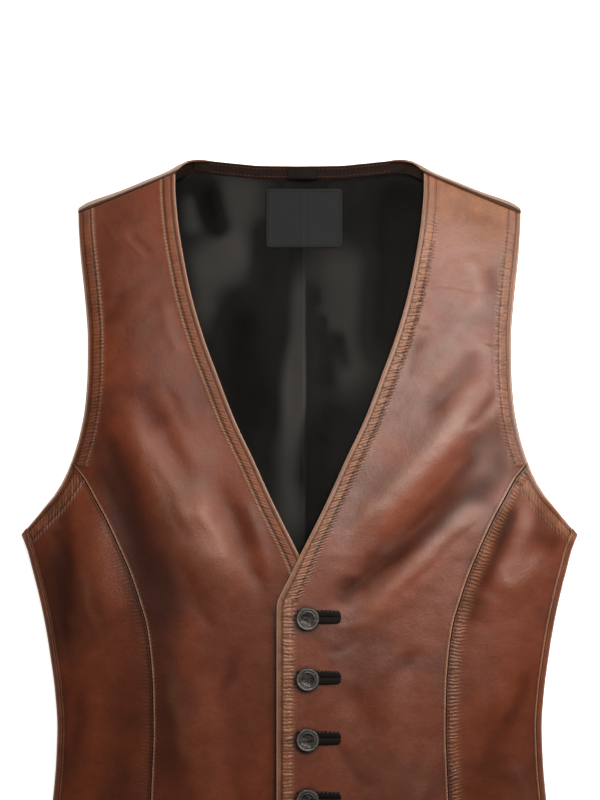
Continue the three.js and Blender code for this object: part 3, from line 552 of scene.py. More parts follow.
def leather_material(tree, place, colours):
    """Aniline cowhide, drummed: mottled brown with a soft sheen, tan where it is rubbed and
    where light is painted, dark in its stitch holes, with a fine pebbled grain. Painted shade
    darkens its fold hollows, pucker valleys and shaded stretches; painted highlights lighten
    its crests and lit stretches."""
    sizes = bpy.context.scene.vest_sizes
    fold, shade = value_of(tree, "fold"), value_of(tree, "shade")

    # Puckers run across a seam; "along" is the distance down it in millimetres
    slant = maths(tree, "MULTIPLY", noise(tree, place, 0.009, 2), 5.0)
    line = maths(tree, "ADD", value_of(tree, "along"), slant)
    across = add(tree, "CombineXYZ", {"X": line}).outputs["Vector"]
    ridge = wave(tree, across, math.pi / 10 * MM / sizes.pucker_pitch, "X",
                 **{"Distortion": 1.6, "Detail": 2.0, "Detail Scale": 2.2})
    broken = spread(tree, noise(tree, place, 0.0045, 3), 0.3, 0.62, 0.35, 1.0)
    pucker = maths(tree, "MULTIPLY", value_of(tree, "gather"), broken)
    valley = maths(tree, "SUBTRACT", maths(tree, "MULTIPLY", pucker, 1.5),
                   maths(tree, "MULTIPLY", ridge, 1.5), True)
    crest = maths(tree, "MULTIPLY", spread(tree, ridge, 0.45, 0.95), pucker, True)

    clouds = noise(tree, place, 0.07, 3, 0.5, 0.3)
    patches = noise(tree, place, 0.012, 4, 0.6, 0.3)
    specks = noise(tree, place, 0.0026, 3, 0.6)
    base, dark, tan = colours.leather, colours.leather_dark, colours.leather_worn
    # Random mottling, then painted shade in the fold hollows and shaded stretches, and painted
    # highlights on the lit stretches and a little on the fold crests
    for value, start, end, amount, tint in (
            (clouds, 0.6, 0.4, 0.35, dark), (patches, 0.62, 0.34, 0.14, dark),
            (fold, 0, -1.4, 0.5, dark), (shade, 0, -1.2, 0.85, dark),
            (shade, 0, 1, 0.6, times(colours.leather, 1.5)), (fold, 0.2, 1.6, 0.12, tan)):
        base = tinted(tree, base, value, start, end, amount, tint)
    worn = spread(tree, patches, 0.3, 0.7, 0.55, 1.15)
    base = blend(tree, maths(tree, "MULTIPLY", value_of(tree, "wear"), worn, True), base, tan)
    # Painted highlight on the pucker crests; below, painted shade in their valleys on top of the grime
    base = blend(tree, maths(tree, "MULTIPLY", crest, 0.3), base, colours.edge)
    base = tinted(tree, base, specks, 0.45, 0.75, 0.22, dark)
    grime_and_valley_shade = maths(tree, "ADD", value_of(tree, "grime"), maths(tree, "MULTIPLY", valley, 0.7), True)
    base = blend(tree, grime_and_valley_shade, base, colours.grime)
    base = blend(tree, value_of(tree, "pale"), base, colours.edge)

    # The real grain is under a millimetre; it is drawn at 1.5 mm so that it shows
    cells = add(tree, "TexVoronoi", {
        "Vector": place, "Scale": 1 / sizes.grain, "Randomness": 1.0}).outputs["Distance"]
    normal = None
    for height, distance, strength in (
            (noise(tree, place, 0.007, 4, 0.6, 0.4), 0.0004, 0.5),
            (maths(tree, "MULTIPLY", ridge, pucker), sizes.pucker_depth, 0.9),
            (cells, 0.00012, 0.45), (specks, 0.00015, 0.35)):
        normal = bump(tree, height, distance, strength, normal)
    rough = spread(tree, patches, 0.3, 0.7, 0.37, 0.45)
    shine = spread(tree, value_of(tree, "polish"), 0, 1.2, 0.06, 0.62)
    finish_material(tree, base, rough, Normal=normal, IOR=1.5, Specular_IOR_Level=shine)


def satin_material(tree, place, colours):
    """Acetate satin, woven with long floats: near black with a soft, broad shine, painted on as light
    and dark stretches.
    """
    # Threads are about 0.1 mm apart; the ribs are drawn at 0.9 mm so that they show at all
    ribs = wave(tree, place, 1 / 0.0009 / 3, "Y", Distortion=0.4, Detail=1.0)
    creases = noise(tree, place, 0.02, 3, 0.5, 0.5)
    tone = noise(tree, place, 0.05, 2, 0.5)
    fold = value_of(tree, "fold")
    base = tinted(tree, colours.lining, tone, 0.35, 0.65, 0.25, times(colours.lining, 2.2))
    # Painted sheen on the light stretches and painted shade on the dark ones, from the "fold" values
    base = tinted(tree, base, fold, 0, 1.2, 1, colours.lining_sheen)
    base = tinted(tree, base, fold, 0, -1, 1, (0.001, 0.001, 0.001))
    normal = bump(tree, ribs, 0.00005, 0.12, bump(tree, creases, 0.0012, 0.4))
    finish_material(tree, base, 0.45, Normal=normal, Specular_IOR_Level=0.03)


def strip_material(tree, place, colours):
    """Thin goatskin strip, dyed dark brown: matt, finely grained."""
    tone = noise(tree, place, 0.008, 4, 0.6)
    base = tinted(tree, colours.facing, tone, 0.35, 0.65, 0.25, colours.leather_dark)
    grain = add(tree, "TexVoronoi", {"Vector": place, "Scale": 1 / 0.0012}).outputs["Distance"]
    normal = bump(tree, grain, 0.0001, 0.4)
    finish_material(tree, base, 0.55, Normal=normal, Specular_IOR_Level=0.04)


def woven_material(tree, place, colours, name, pitch, rough):
    """Polyester weave: matt, with a crossed thread pattern."""
    tint = getattr(colours, name)
    threads = [wave(tree, place, 1 / pitch / 3, way, Distortion=0.2) for way in "XY"]
    weave = maths(tree, "MULTIPLY", *threads)
    base = tinted(tree, tint, weave, 0, 0.8, 0.45, times(tint, 1.7))
    normal = bump(tree, weave, 0.00012, 0.4)
    finish_material(tree, base, rough, Normal=normal, Specular_IOR_Level=0.08)


def thread_material(tree, place, colours, name):
    """Bonded nylon or waxed linen thread: a faint shine and a twist."""
    tint = getattr(colours, name)
    twist = noise(tree, place, 0.0009, 2)
    base = blend(tree, twist, tint, times(tint, 1.8))
    normal = bump(tree, twist, 0.0001, 0.4)
    finish_material(tree, base, 0.5, Normal=normal, Specular_IOR_Level=0.2)


def horn_material(tree, place, colours):
    """Polished dark horn: streaky grey-black with a clear surface shine."""
    turned = add(tree, "Mapping", {
        "Vector": place, "Rotation": (0, 0, 0.6), "Scale": (1, 3.2, 1)}).outputs["Vector"]
    streaks = noise(tree, turned, 0.006, 5, 0.65, 1.2)
    base = tinted(tree, colours.horn, streaks, 0.42, 0.72, 0.55, colours.horn_light)
    # Painted highlight rings on the rims
    base = blend(tree, value_of(tree, "wear"), base, colours.horn_light)
    normal = bump(tree, streaks, 0.0001, 0.25)
    finish_material(tree, base, 0.3, Normal=normal, Specular_IOR_Level=0.28)


def floor_material(tree, place, colours):
    """Opal acrylic of a light table: white, lit evenly from below."""
    tone = noise(tree, place, 0.3, 2)
    base = tinted(tree, colours.floor, tone, 0.3, 0.7, 0.15, times(colours.floor, 0.94))
    finish_material(tree, base, 0.9, Emission_Color=base, Emission_Strength=0.8)


# Name of the real material, the function that makes it and what that needs to know
MATERIALS = {
    "leather": ("antiqued aniline cowhide", leather_material),
    "satin": ("acetate satin lining", satin_material),
    "strip": ("dyed goatskin strip", strip_material),
    "label": ("woven label cloth", woven_material, "label", 0.0011, 0.75),
    "tape": ("twill tape", woven_material, "tape", 0.0012, 0.7),
    "thread": ("bonded nylon thread", thread_material, "thread"),
    "pale_thread": ("waxed linen thread", thread_material, "pale_thread"),
    "horn": ("polished dark horn", horn_material),
    "floor": ("opal acrylic", floor_material),
}


def material_for(context, key):
    """The vest's material of that key, made the first time it is asked for."""
    name, make, *details = MATERIALS[key]
    known = bpy.data.materials.get(name)
    if known:
        return known
    material = bpy.data.materials.new(name)
    material.use_nodes = True
    tree = material.node_tree
    tree.nodes.clear()
    place = add(tree, "TexCoord").outputs["Object"]
    make(tree, place, context.scene.vest_colours, *details)
    return material


def to_mesh(name, bm):
    """A mesh from a bmesh, which it uses up."""
    mesh = bpy.data.meshes.new(name)
    bm.to_mesh(mesh)
    bm.free()
    return mesh


def link_object(context, name, data):
    made = bpy.data.objects.new(name, data)
    context.scene.collection.objects.link(made)
    return made


def new_object(context, name, mesh, material, replaces=()):
    """An object from a mesh, with its material, its body and the nodes it replaces."""
    mesh.shade_smooth()
    mesh.materials.append(material_for(context, material))
    piece = link_object(context, name, mesh)
    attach(piece, "root")
    if replaces:
        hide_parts(*replaces)
    return piece


def new_piece(context, name, bm, material, replaces=(), thickness=0.0, inside=None):
    """An object from a bmesh; a thickness makes a wall behind its outer face, which can
    have another material on its inner face."""
    piece = new_object(context, name, to_mesh(name, bm), material, replaces)
    if thickness:
        wall = piece.modifiers.new("wall", "SOLIDIFY")
        wall.thickness = thickness
        wall.offset = -1
        wall.use_even_offset = False
        if inside:
            piece.data.materials.append(material_for(context, inside))
            wall.material_offset = 1
    return piece


def add_grid(points, layers=None, bm=None, upward=True):
    """A grid of faces through rows of points in millimetres, with values on its points."""
    bm = bmesh.new() if bm is None else bm
    rows, columns = points.shape[:2]
    held = {name: bm.verts.layers.float.get(name) or bm.verts.layers.float.new(name)
            for name in (layers or {})}
    made = bmesh.ops.create_grid(
        bm, x_segments=columns - 1, y_segments=rows - 1, size=1, calc_uvs=False)["verts"]
    for vert in made:
        column = round((vert.co.x + 1) / 2 * (columns - 1))
        row = round((vert.co.y + 1) / 2 * (rows - 1))
        vert.co = Vector(points[row, column]) * MM
        for name, layer in held.items():
            vert[layer] = float(layers[name][row, column])
    faces = list({face for vert in made for face in vert.link_faces})
    for face in faces:
        face.normal_update()
    if (sum(face.normal.z * face.calc_area() for face in faces) > 0) != upward:
        bmesh.ops.reverse_faces(bm, faces=faces)
    return bm


def to_points(sign, out, drop, z):
    return np.stack([sign * out, LENGTH / 2 - drop, z], axis=-1)


def running_length(out, drop):
    """Distance down a column of points from its first one."""
    step = np.hypot(np.diff(out, axis=0), np.diff(drop, axis=0))
    return np.concatenate([0 * step[:1], np.cumsum(step, axis=0)])


def stitched_rows(distance):
    """The rows of points that lie nearest to the two rows of stitches."""
    return [int(np.argmin(np.abs(distance - inset))) for inset in ROW_INSETS]


def front_grid(sign):
    """Points and surface values of a front, and the places of its stitched lines."""
    look = SIDES[sign]
    tip, neck = TIP_SEAM_DROP + GAP, NECK_SEAM_DROP + GAP
    upper = np.linspace(tip, SEAM_JOIN_DROP, 290)
    lower = np.linspace(SEAM_JOIN_DROP, PRINCESS_HEM_DROP, 400)[1:]
    outer_drop = np.concatenate([upper, lower])[:, None]
    above = outer_drop <= SEAM_JOIN_DROP
    part = (outer_drop - tip) / (SEAM_JOIN_DROP - tip)
    low_part = (outer_drop - V_BOTTOM_DROP) / (PRINCESS_HEM_DROP - 13 - V_BOTTOM_DROP)
    dip = (FRONT_HEM_DROP - PRINCESS_HEM_DROP) * np.clip(low_part, 0, 1)
    edge_drop = np.where(above, mix(neck, SEAM_JOIN_DROP, part), outer_drop + dip)

    inner_out = front_edge(edge_drop)
    outer_out = np.where(above, armhole(outer_drop), princess(outer_drop) - SEAM_HALF)
    inner_lean = slope_of(front_edge, edge_drop)
    outer_lean = np.where(above, slope_of(armhole, outer_drop), 0)
    inner_slant, outer_slant = np.hypot(1, inner_lean), np.hypot(1, outer_lean)

    turned, buttoned = np.array(TURNED_INSETS), np.array(BUTTONED_INSETS)
    left = inner_out + mix(turned, buttoned, smooth((edge_drop - 330) / 60)) * inner_slant
    right = (outer_out - turned * outer_slant)[:, ::-1]
    middle = mix(left[:, -1:], right[:, :1], np.linspace(0, 1, 32)[1:-1])
    out = np.concatenate([left, middle, right], axis=1)
    drop = mix(edge_drop, outer_drop, (out - inner_out) / (outer_out - inner_out))

    # Insets and lengths along both edges, for every point
    from_inner = np.full(out.shape, FAR)
    from_inner[:, :len(turned)] = turned
    from_outer = from_inner[:, ::-1]
    inner_run = running_length(inner_out, edge_drop) - (out - inner_out) * (inner_lean / inner_slant)
    outer_run = running_length(outer_out, outer_drop) + (outer_out - out) * (outer_lean / outer_slant)

    tight = smooth((drop - 30) / 90) * mix(1, 0.6, smooth((drop - 330) / 60))
    inner_row = 1 - 0.8 * smooth((drop - 375) / 25)
    edges = turned_edge(from_inner, inner_run, look.gather * tight, look.worn, look.ridge, inner_row)
    faded = 1 - 0.7 * smooth((drop - 130) / 90)
    arm_worn = 0.8 * look.worn * (0.3 + 0.7 * faded)
    arm = turned_edge(from_outer, outer_run, 0.45 * tight, arm_worn, 0.6 * look.ridge * faded)
    if sign == RIGHT:
        # Painted shadow of the upper front's edge on the lower one
        at_least(edges, "grime", 0.85 * bell(out - 20.2, 2.0) * smooth((drop - 384) / 10))
    else:
        for button_drop in BUTTON_DROPS:
            # Painted shadow of each button: a dark ring offset down and towards the middle
            from_button_shadow = np.hypot(out - BUTTON_OUT + 1.0, drop - button_drop - 0.8)
            at_least(edges, "grime", 0.8 * bell(from_button_shadow - 9.6, 1.5))
    seam = seam_edge(from_outer, outer_run, 0.0, 1.0)
    below = smooth((outer_drop - SEAM_JOIN_DROP) / 4)
    edges = join_edges(edges, arm, (from_outer < FAR) * (1 - below))
    edges = join_edges(edges, seam, (from_outer < FAR) * below)
    edges = join_hem(edges, outer_drop, out, look.worn)
    roll = np.clip(1 - (drop - shoulder_seam(out)) / 1.5, 0, 1) ** 2
    edges["relief"] = edges["relief"] - 0.9 * roll
    at_least(edges, "grime", 0.9 * roll)

    points, layers = dressed(sign, out, drop, edges)
    last = out.shape[1] - 1
    on_arm = above[:, 0]
    first_hem, second_hem = stitched_rows(PRINCESS_HEM_DROP - outer_drop)
    lines = [
        points[:, FIRST_ROW], points[edge_drop[:, 0] < 386, SECOND_ROW],
        points[on_arm, last - FIRST_ROW], points[on_arm, last - SECOND_ROW],
        points[~on_arm, last - FIRST_ROW + 1],
        points[first_hem, FIRST_ROW:last], points[second_hem, SECOND_ROW:last],
    ]
    return points, layers, lines


def side_front_grid(sign):
    """Points and surface values of a side front, and its stitched lines."""
    look = SIDES[sign]
    top, side_top = SEAM_JOIN_DROP + GAP, SIDE_TOP_DROP + GAP
    span = PRINCESS_HEM_DROP - top
    near = np.linspace(0, EDGE_REACH, 23)
    between = np.linspace(EDGE_REACH, span - EDGE_REACH, 250)[1:-1]
    down = np.concatenate([near, between, span - near[::-1]])[:, None]
    inner_drop = top + down
    part = np.clip((down - EDGE_REACH) / (span - 2 * EDGE_REACH), 0, 1)
    outer_drop = inner_drop + mix(side_top - top, SIDE_HEM_DROP - PRINCESS_HEM_DROP, part)
    inner_out = princess(inner_drop) + SEAM_HALF
    outer_out = outer_limit(outer_drop) - 1.2 * GAP
    width = np.hypot(outer_out - inner_out, outer_drop - inner_drop)

    inner_part = np.array((0, 0.5, 1.0, 1.5, 2.1, 2.6, 3.2)) / width
    outer_part = 1 - inner_part[:, ::-1]
    middle = mix(inner_part[:, -1:], outer_part[:, :1], np.linspace(0, 1, 76)[1:-1])
    across = np.concatenate([inner_part, middle, outer_part], axis=1)
    # Its top follows the armhole, which bends between its two corners
    top_out = mix(princess(top), outer_limit(SIDE_TOP_DROP), across)
    bend = (armhole(mix(top, side_top, across)) - top_out) * np.clip(1 - down / 90, 0, 1)
    out = mix(inner_out, outer_out, across) + bend
    drop = mix(inner_drop, outer_drop, across)

    from_inner, from_outer = across * width, (1 - across) * width
    inner_run = running_length(inner_out, inner_drop) + 0.3 * from_inner
    edges = seam_edge(from_inner, inner_run, look.side_gather, look.worn)
    seam = seam_edge(from_outer, running_length(outer_out, outer_drop), 0.0, look.side_worn)
    edges = join_edges(edges, seam, from_outer < 14)
    # The slanting top edge lies nearer than the distance straight down says
    from_top = 0.9 * down + 0 * out
    arm = turned_edge(from_top, 1.25 * out, 0.5, 0.5 * look.worn, look.side_ridge)
    edges = join_edges(edges, arm, from_top < EDGE_REACH)
    edges = join_hem(edges, inner_drop, out, look.worn)

    points, layers = dressed(sign, out, drop, edges)
    rows = stitched_rows(0.9 * down) + stitched_rows(span - down)
    return points, layers, [points[:, 5], points[:, -6]] + [points[row, 3:-3] for row in rows]


def turn_up(back, angle):
    """Inset, height and slope of a sheet at a distance from its turned-up edge."""
    arc = FOLD_RADIUS * angle
    slope = np.maximum(0, angle - back / FOLD_RADIUS)
    straight = np.maximum(0, back - arc)
    inset = straight + FOLD_RADIUS * (np.sin(angle) - np.sin(slope))
    return inset, FOLD_RADIUS * (1 - np.cos(slope)), slope


def neck_lift(out):
    return math.pi / 2 * smooth((np.abs(out) - NECK_LIFT_OUT) / (NECK_FOLD_OUT - NECK_LIFT_OUT))


def side_lift(drop):
    return math.pi / 2 * np.clip((drop - UNDERARM_DROP + UNDERARM_RISE) / UNDERARM_RISE, 0, 1)


def back_outline(drop):
    peek = smooth((drop - 47) / 30) * smooth((UNDERARM_DROP - drop) / 40)
    return np.where(drop >= UNDERARM_DROP, side(drop), armhole(drop) + 1.2 * peek)


def flat_edge_relief(back):
    """How far a flat stitched edge of the back stands clear of the floor."""
    roll = np.clip(1 - back / 1.7, 0, 1) ** 2
    return 0.8 * roll + 0.45 * bell(back - 2.6, 0.5) + 0.45 * bell(back - 10.9, 0.6)


def back_grids():
    """Grids of the outer face of the back, whose borders meet, and its stitched lines."""
    edge_backs = np.array((12.5, 11.6, 10.9, 10.2, 9, QUARTER, 6.2, 4.6, 3.4, 2.6, 1.9, 1.2, 0.6, 0))
    spans = ((0, NECK_LIFT_OUT), (66, NECK_FOLD_OUT), (104, TIP_OUT - 20))
    top_outs = np.concatenate([np.linspace(*span, 9) for span in spans])
    outs = np.concatenate([top_outs, TIP_OUT - edge_backs])
    on_edge = np.arange(len(outs)) >= len(top_outs)
    side_back = np.where(on_edge, TIP_OUT - outs, edge_backs[0])

    top_backs = edge_backs[::-1]
    levels = np.linspace(0, 1, 28)[1:]
    under = UNDERARM_DROP - np.arange(3, -1, -1)
    drops = np.concatenate([
        under, np.linspace(331, SIDE_HEM_DROP - 18, 34), SIDE_HEM_DROP - edge_backs])
    last_top = UNDERARM_DROP - UNDERARM_RISE

    inset, height, _ = turn_up(top_backs[:, None], neck_lift(outs))
    tip_drop = TIP_DROP + turn_up(top_backs, math.pi / 2)[0]
    top_drop = top_line(outs) + inset
    start = top_drop[-1:]
    drop = np.concatenate([
        top_drop, mix(start, last_top, levels[:, None]), drops[:, None] + 0 * start])
    edge_drop = np.concatenate([tip_drop, mix(tip_drop[-1], last_top, levels), drops])
    flat_rows = len(levels) + len(drops)
    top_height = np.concatenate([height, np.zeros((flat_rows, len(outs)))])

    lift = side_lift(edge_drop)[:, None]
    edge_out = back_outline(edge_drop)[:, None]
    turn_inset, turn_height, _ = turn_up(side_back, lift)
    inner_part = outs / (TIP_OUT - edge_backs[0])
    inner_out = inner_part * (edge_out - turn_up(edge_backs[0], lift)[0])
    out = np.where(on_edge, edge_out - turn_inset, inner_out)

    # The stitched edges where the back lies flat: armholes, neck and hem
    to_side = np.where(on_edge, side_back, FAR)
    to_top = np.concatenate([top_backs, np.full(flat_rows, FAR)])[:, None]
    to_hem = np.full((len(drop), 1), FAR)
    to_hem[-len(edge_backs):, 0] = edge_backs
    flat_side = (1 - lift / (math.pi / 2)) * smooth((drop - 70) / 20)
    flat_neck = 1 - smooth((outs - 50) / 14)
    relief = np.maximum(flat_edge_relief(to_side) * flat_side, flat_edge_relief(to_top) * flat_neck)
    relief = np.maximum(relief, flat_edge_relief(to_hem) * (to_side > QUARTER))
    z = top_height + np.where(on_edge, turn_height, 0) + relief

    mirrored = np.concatenate([
        to_points(-1, out, drop, z)[:, :0:-1], to_points(1, out, drop, z)], axis=1)
    grids = [mirrored]
    # Past their fold the sides and shoulders lie on top, up to the seams with the fronts
    slopes = np.linspace(math.pi / 2, math.pi, 10)
    lean = slopes / (math.pi / 2) - 1
    fold_inset = FOLD_RADIUS * (1 - np.sin(slopes))
    fold_height = FOLD_RADIUS * (1 - np.cos(slopes))
    first_under = len(top_backs) + len(levels) + len(under) - 1
    side_drop = drop[first_under:, -1:] + 0 * slopes
    side_drop[0] = UNDERARM_DROP - 6.4 * lean**1.6
    own = outs[np.searchsorted(outs, NECK_FOLD_OUT - 0.01):]
    part = (own - NECK_FOLD_OUT) / (TIP_OUT - NECK_FOLD_OUT)
    neck = np.interp(lean, (0, 1 / 3, 2 / 3, 1), (NECK_FOLD_OUT, 101, 104.8, NECK_OUT))
    over_out = mix(neck[:, None], TIP_OUT, part)
    extra = shoulder_seam(over_out) - top_line(over_out) - FOLD_RADIUS
    over_drop = top_line(over_out) + fold_inset[:, None] + extra * lean[:, None] ** 2
    for sign in (-1, 1):
        grids.append(to_points(sign, side(side_drop) - fold_inset, side_drop,
                               fold_height + 0 * side_drop))
        grids.append(to_points(sign, over_out, over_drop, fold_height[:, None] + 0 * over_out))

    # Rows and columns of points that the two rows of stitches run along
    lines = [mirrored[row, 14:-14] for row in (-5, -12)]
    middle = len(outs) - 1
    for column in (len(outs) - 5, len(outs) - 12):
        lifted = (relief[:, column] > 0.4) & (drop[:, column] < UNDERARM_DROP)
        lines += [mirrored[lifted, middle + column], mirrored[lifted, middle - column]]
    lines += [mirrored[row, middle - 6:middle + 7] for row in (4, 11)]
    return grids, lines


def lining_face(x, drop):
    """Height of the upper face of the lining, which the neck shows: soft ripples, a pleat
    at the centre, pulls below the facing and small creases."""
    beyond = front_edge(drop) - np.abs(x)
    ripples = smooth((beyond + 6) / 22) * smooth((drop - 12) / 40)
    face = LEATHER + GAP + LINING + np.maximum(0, folds(LINING_FOLDS, x, drop)) * ripples
    pleat = 0.5 * bell(x - 3.2, 0.8) - 0.45 * bell(x - 5.6, 1.1)
    detail = pleat * smooth((drop - 16) / 20) + 0.22 * ripple(x, drop, 21, shortest=22, longest=90)
    for at, width, reach, rise in (
            (-12, 3, 26, 0.6), (8, 2.2, 18, -0.5), (27, 3.2, 34, 0.7), (43, 2.6, 24, -0.6),
            (-44, 5, 50, 0.6), (-80, 4, 36, -0.5), (66, 3.6, 40, 0.5)):
        fade = smooth((16 + reach - drop) / reach)
        detail = detail + rise * bell(x - at + 0.12 * (drop - 16), width) * fade
    return face + smooth((beyond + 2) / 14) * detail


def spaced_stitches(path, pitch):
    """Places and directions along a path, one for each stitch."""
    steps = np.linalg.norm(np.diff(path, axis=0), axis=1)
    run = np.concatenate([[0], np.cumsum(steps)])
    count = max(1, int(run[-1] / pitch))
    at = (np.arange(count) + 0.5) * run[-1] / count
    reach = 0.35 * pitch

    def spot(distance):
        return np.stack([np.interp(distance, run, path[:, i]) for i in range(3)], axis=-1)

    return spot(at), spot(at + reach) - spot(at - reach)


def new_stitches(context, name, paths, sink=0.0, material="thread"):
    """An object of short threads along paths in millimetres."""
    sizes = context.scene.vest_sizes
    bm = bmesh.new()
    bmesh.ops.create_uvsphere(bm, u_segments=6, v_segments=4, radius=0.5)
    shape = np.array([vert.co for vert in bm.verts])
    corners = [[vert.index for vert in face.verts] for face in bm.faces]
    bm.free()
    shape = shape * (sizes.stitch_length, sizes.thread, sizes.thread)
    points, faces = [], []
    for path in paths:
        places, ways = spaced_stitches(np.asarray(path), sizes.stitch_pitch / MM)
        ways = ways / np.linalg.norm(ways, axis=1)[:, None]
        sides = np.cross((0, 0, 1), ways)
        turns = np.stack([ways, sides, np.cross(ways, sides)], axis=1)
        for place, turn in zip(places, turns):
            first = len(points) * len(shape)
            faces += [[first + corner for corner in face] for face in corners]
            points.append((place + (0, 0, sink)) * MM + shape @ turn)
    mesh = bpy.data.meshes.new(name)
    mesh.from_pydata(np.concatenate(points), [], faces)
    return new_object(context, name, mesh, material)


def new_front(context, node, points, layers, lines):
    """A leather piece in front, lined with satin, and its stitches."""
    thickness = context.scene.vest_sizes.leather
    piece = new_piece(context, f"leather_{node}", add_grid(points, layers), "leather",
                      [node], thickness=thickness, inside="satin")
    new_stitches(context, f"stitches_{node}", lines)
    return piece


class VEST_OT_fronts(bpy.types.Operator):
    """Make the two fronts, with their folds, turned edges and puckers"""
    bl_idname = "vest.fronts"
    bl_label = "Fronts"

    def execute(self, context):
        for sign, look in SIDES.items():
            piece = new_front(context, f"front_{look.name}", *front_grid(sign))
        return {"FINISHED"}


class VEST_OT_side_fronts(bpy.types.Operator):
    """Make the two side fronts below the armholes"""
    bl_idname = "vest.side_fronts"
    bl_label = "Side fronts"

    def execute(self, context):
        for sign, look in SIDES.items():
            piece = new_front(context, f"side_front_{look.name}", *side_front_grid(sign))
        return {"FINISHED"}


class VEST_OT_back(bpy.types.Operator):
    """Make the back, turned up at the sides and over the shoulders"""
    bl_idname = "vest.back"
    bl_label = "Back"

    def execute(self, context):
        thickness = context.scene.vest_sizes.leather
        grids, lines = back_grids()
        bm = bmesh.new()
        for index, grid in enumerate(grids):
            names = (*LAYERS, "fold", "along", "polish", "shade")
            layers = {name: np.zeros(grid.shape[:2]) for name in names}
            layers["wear"] += 0.1
            layers["polish"] += 0.5
            # Past the fold the shoulders are painted pale as a highlight on their tops, with painted
            # shade in the seam
            if index in (2, 4):
                layers["pale"][:-3] = 0.55
                layers["grime"][-4:] = 0.7
            add_grid(grid, layers, bm, upward=index > 0)
        bmesh.ops.remove_doubles(bm, verts=bm.verts, dist=0.00002)
        piece = new_piece(context, "leather_back", bm, "leather", ["back"],
                          thickness=thickness, inside="strip")
        new_stitches(context, "stitches_back", lines, sink=-0.12)
        return {"FINISHED"}


class VEST_OT_lining(bpy.types.Operator):
    """Make the satin lining of the back"""
    bl_idname = "vest.lining"
    bl_label = "Lining"

    def execute(self, context):
        # Distances in from the neck line and from the outline of the back
        from_top, from_side = 11.8, 8.5
        near = np.linspace(-96, 96, 121)
        part = np.concatenate([np.linspace(0, 1, 30), np.full(110, 1.0)])[:, None]
        level = np.concatenate([np.full(30, 104.0), np.linspace(104, 400, 101)[1:],
                                np.linspace(410, SIDE_HEM_DROP - 13, 10)])[:, None]
        edge_out = back_outline(mix(top_line(TIP_OUT - from_side) + from_top, level, part)) - from_side
        right = mix(near[-1], edge_out, np.linspace(0, 1, 9)[1:])
        x = np.concatenate([-right[:, ::-1], near + 0 * edge_out, right], axis=1)
        drop = mix(top_line(np.abs(x)) + from_top, level, part)
        z = np.maximum(lining_face(x, drop), LEATHER + GAP + 0.75)
        # The centre seam throws a shadow on its right
        shadow = smooth((x - 4.6) / 1.2) * np.exp(-np.maximum(0, x - 5) / 7) * smooth((drop - 95) / 25)
        layers = {"fold": folds(LINING_PAINTED_SHEEN, x, drop) - shadow}
        bm = add_grid(to_points(1, x, drop, z), layers)
        piece = new_piece(context, "satin_lining", bm, "satin", ["back_lining"],
                          thickness=0.0006)
        return {"FINISHED"}


class VEST_OT_facing(bpy.types.Operator):
    """Make the leather facing at the back of the neck"""
    bl_idname = "vest.facing"
    bl_label = "Facing"

    def execute(self, context):
        backs = np.array((0.6, 1.2, 2, 2.8, 3.6, 4.6, 6, 7.4, 8.6, 9.4, 10.2, 10.9, 11.5))[:, None]
        x = np.linspace(-92, 92, 140)[None, :]
        inset, height, slope = turn_up(backs, neck_lift(x))
        # Uneven, and sunk along its two rows of stitches
        relief = 0.15 * ripple(x, 3 * backs, 5, shortest=8, longest=30)
        relief = relief - 0.2 * bell(backs - 2.8, 0.4) - 0.2 * bell(backs - 9.4, 0.4)
        depth = LEATHER + GAP + LINING + relief
        drop = top_line(np.abs(x)) + inset + depth * np.sin(slope)
        points = to_points(1, x + 0 * backs, drop, height + depth * np.cos(slope))
        piece = new_piece(context, "leather_neck_facing", add_grid(points), "strip",
                          ["neck_facing"], thickness=0.0008)
        new_stitches(context, "stitches_neck_facing", points[(3, 9), 10:-10])
        return {"FINISHED"}


class VEST_OT_label(bpy.types.Operator):
    """Make the bare woven label, sewn to the lining round its edge"""
    bl_idname = "vest.label"
    bl_label = "Label"

    def execute(self, context):
        half_width, half_height, corner = 33, 25.5, 3
        u = np.linspace(-1, 1, 61)[None, :]
        v = np.linspace(-1, 1, 47)[:, None]
        across, down = np.abs(u) * half_width, np.abs(v) * half_height
        # Points past the start of a rounded corner are pulled in onto its arc
        past_x = np.maximum(0, across - half_width + corner)
        past_y = np.maximum(0, down - half_height + corner)
        beyond = np.hypot(past_x, past_y)
        pull = np.where(beyond > corner, corner / np.maximum(beyond, 1e-6), 1)
        x = 4.0 + np.sign(u) * (np.minimum(across, half_width - corner) + past_x * pull)
        drop = 50.7 + np.sign(v) * (np.minimum(down, half_height - corner) + past_y * pull)
        edge = np.minimum(half_width - across, half_height - down)
        turned = 0.25 * (1 - smooth((edge - 3) / 1.2)) - 0.3 * np.clip(1 - edge / 0.8, 0, 1) ** 2
        uneven = 0.12 * ripple(x, drop, 12, shortest=20, longest=60)
        points = to_points(1, x, drop, lining_face(x, drop) + GAP + 0.75 + turned + uneven)
        piece = new_piece(context, "woven_label", add_grid(points), "label", ["label"],
                          thickness=0.0007)
        inner = [points[2, 2:-2], points[-3, 2:-2], points[2:-2, 2], points[2:-2, -3]]
        new_stitches(context, "stitches_label", inner, material="tape")
        return {"FINISHED"}


